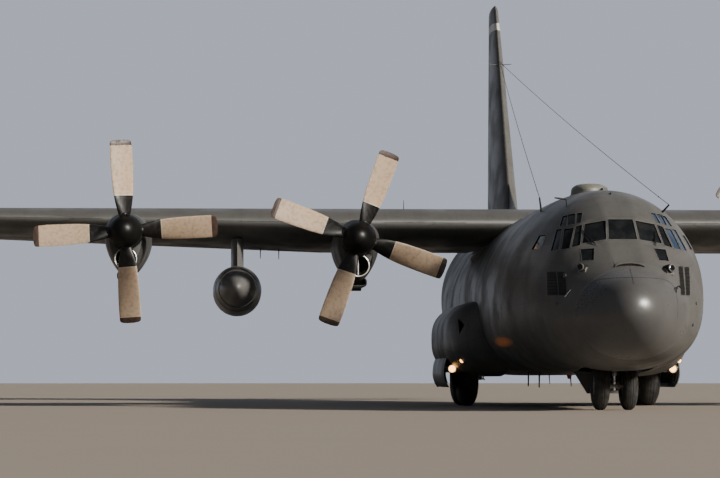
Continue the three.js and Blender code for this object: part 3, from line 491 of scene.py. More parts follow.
@dataclass(frozen=True)
class GreyPaint:
    """Matte aircraft paint with panel lines, waviness, grime and fine lighter flecks.

    Fields: the paint's colour, the grime's colour, roughness, the panel lines' run, how strong the lines
    are, how strong the grime is, the lines' spacing, and how much the paint mirrors.
    """

    name: str
    colour: Colour = (0.106, 0.109, 0.109)
    grime: Colour = (0.032, 0.031, 0.029)
    rough: float = 0.46
    panelling: Panelling = Panelling.NONE
    lines: float = 0.55
    dirt: float = 0.5
    sheen: float = 0.34
    spacing: tuple[float, float] = (0.27, 0.24)

    def rows(self, paint: Paint) -> Term:
        """The panel lines' mask: across and along lines for the surface's run, the stronger of the two.

        Args:
            paint: the paint under construction.

        Returns:
            The mask, one on a line.
        """
        first, second = self.spacing
        if self.panelling is Panelling.HULL:
            angle = (paint.z - 1.2).math("ARCTAN2", paint.x)
            across = paint.y.lines(first, 0.0065)
            along = (angle + 0.13).lines(second, 0.0055)
            return across.math("MAXIMUM", along)
        if self.panelling is Panelling.WING:
            across = paint.x.lines(first, 0.006)
            along = (paint.y - 0.1 * paint.x.math("ABSOLUTE")).lines(second, 0.006)
            return across.math("MAXIMUM", along)
        if self.panelling is Panelling.FIN:
            across = paint.z.lines(first, 0.007)
            along = (paint.y - 0.35 * paint.z).lines(second, 0.006)
            return across.math("MAXIMUM", along)
        across = paint.y.lines(first, 0.006)
        return across.math("MAXIMUM", paint.z.lines(second, 0.006))

    def rivets(self, paint: Paint) -> Term:
        """Rows of small dots beside the panel lines: a dot where two fine line patterns cross.

        Args:
            paint: the paint under construction.

        Returns:
            The mask, one in a dot.
        """
        first, _ = self.spacing
        if self.panelling in (Panelling.HULL, Panelling.NACELLE):
            near, run = (paint.y + 0.008).lines(first, 0.005), paint.z.lines(0.018, 0.008)
        elif self.panelling is Panelling.WING:
            near, run = (paint.x + 0.008).lines(first, 0.005), paint.y.lines(0.018, 0.008)
        else:
            near, run = (paint.z + 0.008).lines(first, 0.005), paint.y.lines(0.018, 0.008)
        return near * run

    def material(self) -> bpy.types.Material:
        """Builds the paint.

        Returns:
            The material: grime gathers where large noise is high and in the panel lines, streaks run along
            the stations, and the relief has the lines and a slight waviness of the skin.
        """
        paint = Paint(self.name)
        blotch = paint.noise(2.3, 4).rise(0.42, 0.68)
        streaks = paint.noise(7.0, 3, (1.0, 0.16, 1.0)).rise(0.48, 0.75)
        fine = paint.noise(60.0, 3, (1.0, 0.6, 1.0))
        drips = paint.noise(16.0, 2, (1.0, 1.0, 0.12)).rise(0.52, 0.8)
        dirt = (0.45 * blotch + 0.35 * streaks + 0.3 * drips) * self.dirt
        shade = paint.mix(dirt.math("MINIMUM", 1.0), self.colour, self.grime)
        light = tuple(min(1.0, 1.22 * c) for c in self.colour)
        shade = paint.mix(fine.rise(0.35, 0.8) * 0.28, shade, light)
        waves = paint.noise(3.4, 1) * 0.12 + fine * 0.012
        if self.panelling is Panelling.NONE:
            paint.relief(waves, 0.004)
        else:
            seams, dots = self.rows(paint), self.rivets(paint)
            shade = paint.mix(seams * self.lines + dots * (0.5 * self.lines), shade, self.grime)
            paint.relief(waves - 0.14 * seams - 0.08 * dots, 0.004)
        paint.set(base_color=shade, roughness=(self.rough + 0.22 * blotch - 0.10 * fine), metallic=0.0)
        paint.set(specular_IOR_level=self.sheen)
        return paint.material


@dataclass(frozen=True)
class Metal:
    """Bare or painted metal with fine scratches and stains."""

    name: str
    colour: Colour
    stain: Colour
    rough: float = 0.35
    metallic: float = 1.0
    scale: float = 40.0

    def material(self) -> bpy.types.Material:
        """Builds the metal: noise between its colour and its stain, and roughness that follows."""
        paint = Paint(self.name)
        patches = paint.noise(self.scale, 4).rise(0.4, 0.75)
        scratches = paint.noise(self.scale * 5, 2, (1, 0.1, 1))
        paint.set(base_color=paint.mix(patches * 0.7, self.colour, self.stain), metallic=self.metallic)
        paint.set(roughness=self.rough + 0.25 * patches + 0.1 * scratches, specular_IOR_level=0.25)
        paint.relief(scratches * 0.3 + patches * 0.3, 0.0006)
        return paint.material


@dataclass(frozen=True)
class Blade:
    """Worn propeller paint: tan with darker worn patches and fine flecks."""

    name: str
    colour: Colour
    worn: Colour

    def material(self) -> bpy.types.Material:
        """Builds the paint: two sizes of noise drive wear and roughness."""
        paint = Paint(self.name)
        wear = paint.noise(26, 4).rise(0.46, 0.72)
        fine = paint.noise(140, 3)
        shade = paint.mix(wear * 0.55, self.colour, self.worn)
        paint.set(base_color=paint.mix(fine.rise(0.55, 0.8) * 0.3, shade, self.worn), metallic=0.0)
        paint.set(roughness=0.42 + 0.2 * wear, specular_IOR_level=0.22)
        paint.relief(fine * 0.2 - wear * 0.2, 0.0008)
        return paint.material


@dataclass(frozen=True)
class Rubber:
    """Tyre rubber: near black, with grey dust in patches."""

    name: str
    colour: Colour = (0.012, 0.012, 0.012)
    dust: Colour = (0.075, 0.068, 0.058)

    def material(self) -> bpy.types.Material:
        """Builds the rubber: dust where noise is high, a fine grain in the relief."""
        paint = Paint(self.name)
        dust = paint.noise(18, 4).rise(0.42, 0.8)
        grain = paint.noise(350, 2)
        paint.set(base_color=paint.mix(dust * 0.7, self.colour, self.dust), roughness=0.72 + 0.2 * dust)
        paint.relief(grain, 0.0005)
        return paint.material


@dataclass(frozen=True)
class Glass:
    """Cockpit or lamp glass: dark and glossy, partly see-through, with a faint film of dust."""

    name: str
    colour: Colour
    alpha: float = 0.9
    rough: float = 0.04

    def material(self) -> bpy.types.Material:
        """Builds the glass: noise lifts the roughness a little where dust lies."""
        paint = Paint(self.name)
        film = paint.noise(9, 3).rise(0.4, 0.9)
        paint.set(base_color=paint.mix(film * 0.25, self.colour, (0.10, 0.105, 0.11)), alpha=self.alpha)
        paint.set(roughness=self.rough + 0.08 * film, specular_IOR_level=0.4)
        return paint.material


@dataclass(frozen=True)
class PaintedLightPool:
    """Grey paint with a painted pool of warm light on it: the share is 1 - u^2 - v^2 in an ellipse, plus some
    noise.
    """

    name: str
    colour: Colour
    base: Colour
    middle: tuple[float, float] = (-4.36, 0.712)
    reach: tuple[float, float] = (0.72, 0.062)

    def material(self) -> bpy.types.Material:
        """Builds the paint: the painted light mixes the warm colour into the grey."""
        paint = Paint(self.name)
        u, v = (paint.y - self.middle[0]) / self.reach[0], (paint.z - self.middle[1]) / self.reach[1]
        share = (1 - (u * u + v * v)).math("MAXIMUM", 0.0)
        spot = (share * (0.7 + 0.8 * paint.noise(9.0, 3))).math("MINIMUM", 1.0)
        paint.set(base_color=paint.mix(spot, self.base, self.colour), roughness=0.46 + 0.1 * spot)
        paint.set(specular_IOR_level=0.34)
        return paint.material


@dataclass(frozen=True)
class Glow:
    """A lit lamp: a warm light that is brightest in a fluted pattern."""

    name: str
    colour: Colour
    power: float

    def material(self) -> bpy.types.Material:
        """Builds the lamp's light: fine lines modulate the colour that it gives off."""
        paint = Paint(self.name)
        flutes = paint.x.lines(0.01, 0.01) * 0.35 + 0.65
        dim = tuple(0.6 * c for c in self.colour)
        paint.set(base_color=self.colour, emission_color=paint.mix(flutes, dim, self.colour), roughness=0.2)
        paint.set(emission_strength=self.power)
        return paint.material


class Finish(Enum):
    """Every finish on the aircraft."""

    RADOME = GreyPaint("radome grey", (0.096, 0.099, 0.102), rough=0.33, dirt=0.32)
    HULL = GreyPaint("fuselage grey", panelling=Panelling.HULL, sheen=0.24)
    WING = GreyPaint("wing grey", (0.100, 0.102, 0.102), panelling=Panelling.WING, spacing=(0.42, 0.30))
    FIN = GreyPaint("fin grey", (0.115, 0.117, 0.114), panelling=Panelling.FIN, spacing=(0.46, 0.42))
    NACELLE = GreyPaint("nacelle grey", (0.058, 0.060, 0.060), (0.014, 0.013, 0.012),
                        panelling=Panelling.NACELLE, spacing=(0.34, 0.31), dirt=0.8)
    TRIM = GreyPaint("trim grey", (0.125, 0.128, 0.128), rough=0.5, dirt=0.5)
    DARK = GreyPaint("dark grey", (0.016, 0.016, 0.016), (0.008, 0.007, 0.006), rough=0.55, sheen=0.15)
    BAND = GreyPaint("pale band", (0.62, 0.62, 0.60), (0.2, 0.19, 0.17), dirt=0.3)
    CREAM = GreyPaint("cream plastic", (0.19, 0.195, 0.175), (0.07, 0.068, 0.06), rough=0.5, dirt=0.45)
    CABIN = GreyPaint("cabin green-grey", (0.10, 0.115, 0.105), (0.03, 0.03, 0.028), rough=0.6)
    # Dark brown for the oil coolers' grille bars, and the painted shade in the nose scoop's slot.
    BROWN_AND_SHADE = GreyPaint("slot brown and painted shade", (0.020, 0.015, 0.012), (0.008, 0.006, 0.005), rough=0.6, sheen=0.03)
    STEEL = Metal("gear steel", (0.30, 0.31, 0.32), (0.08, 0.07, 0.06), 0.42, 0.7)
    CHROME = Metal("bright leg steel", (0.62, 0.63, 0.65), (0.35, 0.33, 0.3), 0.12)
    LIP = Metal("intake lip", (0.50, 0.49, 0.47), (0.22, 0.19, 0.16), 0.28, 0.9)
    HUB = GreyPaint("spinner black", (0.006, 0.006, 0.006), (0.02, 0.019, 0.018), rough=0.42, sheen=0.14)
    EXHAUST = Metal("burnt exhaust", (0.10, 0.07, 0.05), (0.03, 0.022, 0.018), 0.55, 0.8)
    WHEEL = Metal("cast wheel", (0.34, 0.34, 0.33), (0.09, 0.08, 0.07), 0.5, 0.3)
    BLADE = Blade("propeller tan", (0.60, 0.46, 0.33), (0.27, 0.20, 0.15))
    CUFF = Blade("cuff black", (0.010, 0.010, 0.010), (0.035, 0.033, 0.031))
    TIP = Blade("tip brown", (0.055, 0.03, 0.022), (0.10, 0.07, 0.05))
    STRIPE = Blade("cuff stripe", (0.66, 0.60, 0.50), (0.35, 0.30, 0.24))
    RUBBER = Rubber("tyre rubber")
    GASKET = Rubber("gasket rubber", (0.02, 0.02, 0.02), (0.05, 0.047, 0.043))
    GLASS = Glass("cockpit glass", (0.010, 0.012, 0.014), 0.88)
    # Bluish glass for the sunlit port side panes: a painted reflection of the sky.
    SUNLIT_SIDE_GLASS = Glass("side glass, painted sky reflection", (0.035, 0.06, 0.11), 0.9)
    LENS = Glass("lamp lens", (0.10, 0.10, 0.10), 0.6)
    RED_LENS = Glass("red lens", (0.35, 0.01, 0.008), 0.95)
    GREEN_LENS = Glass("green lens", (0.01, 0.22, 0.06), 0.95)
    GLOW = Glow("taxi lamp light", (1.0, 0.50, 0.14), 7.0)
    # Painted light: a warm pool of light laid into the hull grey's colour.
    AMBER_PAINTED_LIGHT = PaintedLightPool("amber painted light", (1.0, 0.34, 0.10), (0.090, 0.092, 0.092))
    TANK = GreyPaint("tank grey", (0.125, 0.128, 0.130), rough=0.36, dirt=0.35)


_MADE: dict[Finish, bpy.types.Material] = {}


def material_of(finish: Finish) -> bpy.types.Material:
    """The finish's material, built the first time it is asked for."""
    if finish not in _MADE:
        _MADE[finish] = finish.value.material()
    return _MADE[finish]


# Pieces


def mesh_of(name: str, surface: Surface) -> bpy.types.Mesh:
    """A Blender mesh of a surface, smooth but for edges over SHARP.

    Args:
        name: the mesh's name.
        surface: the surface.

    Returns:
        The mesh, in model metres.
    """
    mesh = bpy.data.meshes.new(name)
    mesh.from_pydata(place(surface.points).tolist(), [], surface.faces)
    if mesh.validate():
        LOG.warning("%s had faces that were mended", name)
    if len(mesh.polygons) == len(surface.tones):
        mesh.polygons.foreach_set("material_index", np.asarray(surface.tones, np.int32))
    mesh.polygons.foreach_set("use_smooth", np.ones(len(mesh.polygons), bool))
    mesh.set_sharp_from_angle(angle=SHARP)
    mesh.update()
    return mesh


def object_of(name: str, surface: Surface) -> bpy.types.Object:
    """A Blender object of a surface, linked into the scene."""
    made = bpy.data.objects.new(name, mesh_of(name, surface))
    bpy.context.scene.collection.objects.link(made)
    return made


def carved(name: str, surface: Surface, steps: Sequence[tuple[str, Surface]]) -> bpy.types.Object:
    """An object of a surface, cut or kept by other surfaces in turn.

    Args:
        name: the object's name.
        surface: the closed surface to start from.
        steps: pairs of DIFFERENCE, INTERSECT or UNION and the closed surface to do it with.

    Returns:
        The object with the results in its mesh.
    """
    made = object_of(name, surface)
    for operation, tool_surface in steps:
        tool = object_of(f"{name}_tool", tool_surface)
        cut = made.modifiers.new("cut", "BOOLEAN")
        cut.solver, cut.operation, cut.object = "EXACT", operation, tool
        graph = bpy.context.evaluated_depsgraph_get()
        result = bpy.data.meshes.new_from_object(made.evaluated_get(graph))
        made.modifiers.clear()
        old, made.data = made.data, result
        bpy.data.meshes.remove(old)
        bpy.data.objects.remove(tool)
    made.data.polygons.foreach_set("use_smooth", np.ones(len(made.data.polygons), bool))
    made.data.set_sharp_from_angle(angle=SHARP)
    return made


def surface_of(made: bpy.types.Object) -> Surface:
    """An object's mesh as a surface again, in full-size millimetres; the object itself is removed."""
    points = np.array([v.co[:] for v in made.data.vertices]) / MM + np.array([0.0, ORIGIN_STATION, 0.0])
    faces = [tuple(p.vertices) for p in made.data.polygons]
    bpy.data.objects.remove(made)
    return Surface(points, faces, [0] * len(faces))


def dress(made: bpy.types.Object, finishes: Sequence[Finish], body: str = "airframe",
          replaces: Sequence[str] = ()) -> bpy.types.Object:
    """Finishes a piece and ties it to its body.

    Args:
        made: the piece.
        finishes: its materials, one for each tone.
        body: the body that it rides on.
        replaces: the solids that it stands for.

    Returns:
        The piece.
    """
    tones = np.zeros(len(made.data.polygons), np.int32)
    made.data.polygons.foreach_get("material_index", tones)
    made.data.materials.clear()
    for finish in finishes:
        made.data.materials.append(material_of(finish))
    made.data.polygons.foreach_set("material_index", np.minimum(tones, len(finishes) - 1))
    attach(made, body)
    if replaces:
        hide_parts(*replaces)
    LOG.info("%s: %d faces on %s", made.name, len(made.data.polygons), body)
    return made


def piece(name: str, surface: Surface, finishes: Sequence[Finish], body: str = "airframe",
          replaces: Sequence[str] = ()) -> bpy.types.Object:
    """Makes and dresses a piece that needs no cutting; see dress for the arguments."""
    return dress(object_of(name, surface), finishes, body, replaces)


def refinish(node: str, finish: Finish) -> None:
    """Gives a solid that stays in view a better material."""
    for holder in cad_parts[node].material_slots:
        holder.material = material_of(finish)


# Fuselage


@dataclass(frozen=True)
class HullLines:
    """The fuselage's form. Columns: station, keel, crown, half-width, height of the widest point, and the
    exponent of the superellipse below it. The part above it is half an ellipse."""

    table: Array = field(default_factory=lambda: np.array([
        [0, 1935, 1965, 15, 1950, 2],
        [150, 1540, 2360, 455, 1940, 2],
        [500, 1230, 2580, 750, 1900, 2],
        [1100, 1000, 2800, 1100, 1900, 2.1],
        [2000, 835, 3390, 1540, 2050, 2.2],
        [2400, 800, 3860, 1640, 2110, 2.25],
        [2700, 775, 4060, 1705, 2160, 2.3],
        [3500, 740, 4420, 1870, 2260, 2.5],
        [5000, 722, 4600, 2115, 2400, 2.7],
        [6500, 720, 4620, 2165, 2450, 2.95],
        [17500, 720, 4620, 2170, 2450, 3],
        [19000, 1090, 4660, 2160, 2560, 3],
        [20600, 1640, 4720, 2090, 2760, 2.9],
        [22500, 2390, 4790, 1860, 3120, 2.7],
        [24600, 3200, 4880, 1450, 3620, 2.5],
        [26500, 3830, 4960, 1020, 4150, 2.3],
        [28200, 4250, 4980, 620, 4560, 2.2],
        [29300, 4460, 4930, 370, 4700, 2],
        [29790, 4600, 4830, 150, 4715, 2],
    ], float))

    def rows(self, stations: Array) -> Array:
        """Keel, crown, half-width, middle and exponent at each station, by cubics in the station's root."""
        rooted = self.table.copy()
        rooted[:, 0] = np.sqrt(rooted[:, 0])
        return smooth_rows(rooted, np.sqrt(np.asarray(stations, float)))

    def rings(self, stations: Array, points: int = 128, inset: float | Array = 0.0,
              angles: Array | None = None) -> Array:
        """The hull's rings.

        Args:
            stations: where the rings stand.
            points: how many points round.
            inset: how far each ring is drawn in.
            angles: the points' angles, if not evenly round.

        Returns:
            Stations x points x 3: sideways h sgn(cos a) |cos a|^e and height m + r sgn(sin a) |sin a|^e,
            with e = 1 above the middle and 2 / exponent below it.
        """
        stations = np.asarray(stations, float)
        keel, crown, half, middle, power = self.rows(stations).T[:, :, None]
        angle = around(points) if angles is None else angles
        c, s = np.cos(angle)[None, :], np.sin(angle)[None, :]
        inset = np.broadcast_to(np.asarray(inset, float), len(stations))[:, None]
        low = s < 0
        e = np.where(low, 2 / power, 1.0)
        reach = np.where(low, middle - keel - inset, crown - middle - inset)
        x = (half - inset) * np.sign(c) * np.abs(c) ** e
        z = middle + reach * np.sign(s) * np.abs(s) ** e
        return np.stack([x, np.broadcast_to(stations[:, None], x.shape), z], -1)

    def side(self, station: float, height: float) -> float:
        """How far out the skin is at a station and height.

        Args:
            station: the station.
            height: the height over the ground.

        Returns:
            Half-width times (1 - share^e)^(1 / e).
        """
        keel, crown, half, middle, power = self.rows(np.array([station]))[0]
        low = height < middle
        share = min(1.0, abs(height - middle) / (middle - keel if low else crown - middle))
        e = power if low else 2
        return half * (1 - share ** e) ** (1 / e)

    def top(self, station: float, x: float) -> float:
        """How high the skin is at a station and distance sideways, above the middle."""
        _, crown, half, middle, _ = self.rows(np.array([station]))[0]
        return middle + (crown - middle) * math.sqrt(max(0.0, 1 - (x / half) ** 2))

    def station_at(self, x: float, height: float) -> float:
        """The first station from the nose where the skin is as far out as x at a height.

        Args:
            x: the distance sideways.
            height: the height over the ground.

        Returns:
            The station.
        """
        stations = np.linspace(5, 6500, 900)
        keel, crown, half, middle, power = self.rows(stations).T
        low = height < middle
        share = np.minimum(1.0, np.abs(height - middle) / np.where(low, middle - keel, crown - middle))
        e = np.where(low, power, 2.0)
        out = half * (1 - share**e) ** (1 / e)
        return float(np.interp(abs(x), np.maximum.accumulate(out), stations))


HULL = HullLines()
RADOME_END, COCKPIT_END, HOLD_END, LENGTH = 1100.0, 5000.0, 17500.0, 29790.0
SEAM = 3.0


@dataclass(frozen=True)
class Facet:
    """One flat of the windscreen: a point of it, its turn to the side and how far it reaches below."""

    x: float
    station: float
    height: float
    turn: float
    below: float
    slope: float = 50.0

    def sunk(self, points: Array, inset: float) -> Array:
        """The stations of points that lie before the flat, pushed back on to it.

        Args:
            points: rows x columns x 3.
            inset: how far the flat itself is sunk.

        Returns:
            The pushed stations: on the plane n . (p - p0) = inset, faded in above the flat's lower edge.
        """
        frame_turn = rotation(2, self.turn) @ rotation(0, self.slope - 90)
        normal, up = frame_turn @ np.array([0, 1, 0]), frame_turn @ np.array([0, 0, 1])
        off = points - np.array([self.x, self.station, self.height])
        flat = self.station + (inset - normal[0] * off[..., 0] - normal[2] * off[..., 2]) / normal[1]
        share = smoothstep(-self.below - inset - 45, -self.below - inset + 15, off @ up)
        return points[..., 1] + share * np.maximum(0, flat - points[..., 1])


Outline = Sequence[Sequence[float]]


@dataclass(frozen=True)
class Cockpit:
    """The radome, the nose section with its windscreen, the crew door and the flight deck."""

    wall: float = 45.0
    rim: float = 14.0
    crease: float = 300.0
    facets: tuple[Facet, ...] = (
        Facet(0, 2015, 3390, 0, 10),
        Facet(286, 2205, 3617, 23, 430),
        Facet(-286, 2205, 3617, -23, 430),
    )
    centre: Outline = ((-286, 3414), (286, 3414), (248, 3830), (-248, 3830))
    front: tuple[Outline, ...] = (
        ((338, 3411), (800, 3335), (705, 3738), (301, 3806)),
        ((848, 3300), (1015, 3255), (878, 3690), (755, 3735)),
        ((600, 3222), (848, 3208), (866, 2966), (655, 2976)),
    )
    side: tuple[Outline, ...] = (
        ((1058, 3238), (1205, 3222), (1082, 3652), (925, 3664)),
        ((1250, 3218), (1380, 3210), (1215, 3652), (1125, 3660)),
        ((1540, 3264), (1660, 3280), (1500, 3565), (1401, 3561)),
        ((780, 3768), (856, 3764), (793, 3984), (698, 3996)),
        ((885, 3752), (1008, 3734), (955, 3971), (830, 3982)),
        ((1040, 3730), (1146, 3727), (1055, 3938), (968, 3962)),
    )
    bay: tuple[float, float, float, float] = (730, 2560, 4240, 1700)
    door: tuple[float, float, float, float] = (4040, 4820, 990, 2560)

    def stations(self) -> Array:
        """The rings' stations: close together over the windscreen."""
        runs = [np.linspace(RADOME_END + SEAM, 1950, 15), np.linspace(1990, 2950, 30),
                np.linspace(3020, COCKPIT_END - SEAM, 26)]
        return np.concatenate(runs)

    def skin(self, inset: float) -> Array:
        """The nose section's rings, drawn in and flat on top between the two creases, with the flats of the
        windscreen pressed into them.

        Args:
            inset: how far the rings are drawn in.

        Returns:
            Stations x points x 3.
        """
        stations = self.stations()
        points = HULL.rings(stations, 176, inset)
        _, crown, half, middle, _ = HULL.rows(stations).T
        flat = middle + (crown - middle) * np.sqrt(1 - (self.crease / half) ** 2) - inset
        share = smoothstep(1150, 1400, stations) * (1 - smoothstep(3300, 4200, stations))
        points[..., 2] -= (share * np.maximum(0, points[..., 2].T - flat)).T
        points[..., 1] = np.maximum.reduce([facet.sunk(points, inset) for facet in self.facets])
        return points

    def layer(self, outer: float, inner: float) -> Surface:
        """The closed layer between two insets."""
        return grid(np.concatenate([self.skin(outer), self.skin(inner)[::-1]]), looped=True)

    def openings(self, panes: Sequence[Outline], grow: float) -> list[Surface]:
        """Blocks from in front through the panes, moved out by an amount, on both sides.

        Args:
            panes: outlines as (sideways, height) corners on the port side.
            grow: how far their edges are moved out.

        Returns:
            The closed blocks.
        """
        blocks = []
        for pane in panes:
            start, end = (1300, 2300) if min(z for _, z in pane) < 3000 else (1500, 4100)
            blocks.append(prism(offset_outline(pane, grow), 1, start, end))
        return [block.on(side) for block in blocks for _, side in SIDES]

    def middle_opening(self, grow: float) -> Surface:
        """The block through the middle pane, its edges moved out by an amount."""
        return prism(offset_outline(self.centre, grow), 1, 1800, 2900)

    def every_opening(self, grow: float) -> list[Surface]:
        """The blocks through all panes."""
        return [self.middle_opening(grow), *self.openings([*self.front, *self.side], grow)]

    def doorway(self, margin: float) -> Surface:
        """The crew door's opening, drawn in by a margin."""
        front, back, sill, head = self.door
        return box((1000, 2400), (front + 2 * margin, back - margin), (sill + margin, head - margin))

    def build(self) -> None:
        """Makes every piece of the nose."""
        self.build_radome()
        half, front, back, top = self.bay
        shell = self.layer(0, self.wall)
        hole = box((-half, half), (front, back), (300, top))
        cuts = union([*self.every_opening(0), hole, self.doorway(0)])
        made = carved("nose_section", shell, [("DIFFERENCE", cuts)])
        dress(made, [Finish.HULL], replaces=["cockpit_shell"])
        door = carved("crew_door_skin", shell, [("INTERSECT", self.doorway(GAP))])
        dress(door, [Finish.HULL], "crew_door_leaf", ["crew_door"])
        self.build_panes()
        self.build_bay()
        self.build_deck()
        self.build_door_lining()

    def build_radome(self) -> None:
        """The radome: rings at even steps of the station's root, and a wall inside."""
        stations = np.linspace(0, math.sqrt(RADOME_END - SEAM), 64) ** 2
        outer = HULL.rings(stations, 176)
        inner = HULL.rings(stations[12:], 176, 35.0)
        shell = grid(np.concatenate([outer, inner[::-1]]))
        piece("radome_skin", shell, [Finish.RADOME], replaces=["radome"])

    def build_panes(self) -> None:
        """The panes, sunk below the skin, and the thin frames proud of it round each; the side panes are a lit
        and a shaded copy of the glass, port and starboard.
        """
        front = union([self.middle_opening(-0.5), *self.openings(self.front, -0.5)])
        made = carved("windscreen_panes", self.layer(14, 30), [("INTERSECT", front)])
        dress(made, [Finish.GLASS], replaces=["cockpit_glazing"])
        # Port panes get the bluish glass that paints the sky's reflection on the lit side, starboard panes the
        # darker glass of the shaded side.
        for name, side, finish in (("left", 0, Finish.SUNLIT_SIDE_GLASS), ("right", 1, Finish.GLASS)):
            blocks = union(self.openings(self.side, -0.5)[side::2])
            made = carved(f"side_panes_{name}", self.layer(14, 30), [("INTERSECT", blocks)])
            dress(made, [finish])
        panes = [*self.front, *self.side]
        middle = self.framed([self.middle_opening(grow) for grow in (self.rim, 1.0)])
        port = [self.framed([union(self.openings(panes[start::2], grow)[::2]) for grow in (self.rim, 1.0)])
                for start in (0, 1)]
        frames = union([middle, *port, *[part.mirrored() for part in port]])
        piece("window_frames", frames, [Finish.TRIM])

    def framed(self, tools: Sequence[Surface]) -> Surface:
        """The thin layer over the skin inside the first tool and outside the second."""
        steps = [("INTERSECT", tools[0]), ("DIFFERENCE", tools[1])]
        return surface_of(carved("frame", self.layer(-5, 12), steps))

    def build_bay(self) -> None:
        """The nose wheel bay's walls with stiffeners: a box inside a box, open below."""
        half, front, back, top = self.bay
        w = 30
        outer = box((-half - w, half + w), (front - w, back + w), (860, top + w))
        inner = box((-half, half), (front, back), (700, top))
        made = carved("nose_bay_liner", outer, [("DIFFERENCE", inner)])
        dress(made, [Finish.TRIM])
        ribs = [box((-half, half), (l, l + 34), (top - 60, top)) for l in range(2760, 4200, 240)]
        rails = [box((s * half - 18, s * half + 18), (front, back), (z, z + 40)) for s in (-1, 1)
                 for z in (1000, 1300, 1560)]
        pipes = [tube([(x, front, top - 75), (x, 3400, top - 78), (x, back, top - 75)], 11)
                 for x in (-420, -380, 450)]
        piece("nose_bay_ribs", union([*ribs, *rails, *pipes]), [Finish.TRIM])

    def build_deck(self) -> None:
        """The flight deck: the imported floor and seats, with a coaming, yokes, headrests and a roof panel."""
        refinish("flight_deck", Finish.CABIN)
        angle = around(40)
        rows = [(-900, 120, 60), (-860, 170, 95), (-300, 190, 110), (0, 195, 115), (300, 190, 110),
                (860, 170, 95), (900, 120, 60)]
        coaming = grid(np.array([[(x, 2640 + a * np.cos(t), 3150 + b * np.sin(t)) for t in angle]
                                 for x, a, b in rows]))
        yokes = []
        for side in (-1, 1):
            x = side * 640
            yokes.append(tube([(x, 2760, 2500), (x, 2800, 2800), (x, 2860, 2980)], 28))
            ring = [(x + 190 * math.sin(t), 2880, 2990 - 110 * math.cos(t))
                    for t in np.linspace(-2.3, 2.3, 16)]
            yokes.append(tube(ring, 17))
            edge = ((-40, 0.8), (-25, 1), (25, 1), (40, 0.8))
            yokes.append(grid(np.array([[(x + 170 * math.cos(t) * k, 3360 + j, 3560 + 130 * math.sin(t) * k)
                                         for t in angle] for j, k in edge])))
        roof = box((-380, 380), (2950, 3400), (3930, 3980))
        piece("flight_deck_fittings", union([coaming, *yokes, roof]), [Finish.DARK])

    def build_door_lining(self) -> None:
        """Steps and side rails on the crew door's inner face, which is the stair when it hangs open."""
        front, back, sill, head = self.door
        parts = []
        for z in (1250, 1500, 1750, 2000, 2250):
            reach = HULL.side(0.5 * (front + back), z) - self.wall
            parts.append(box((reach - 150, reach + 4), (front + 120, back - 120), (z, z + 28)))
        for l in (front + 110, back - 130):
            rail = ((-6, 0), (-6, 22), (90, 22), (90, 0))
            rows = [[(HULL.side(l, z) - self.wall - d, l + k, z) for d, k in rail]
                    for z in np.linspace(sill + 90, head - 90, 14)]
            parts.append(grid(np.array(rows)))
        piece("crew_door_steps", union(parts), [Finish.TRIM], "crew_door_leaf")


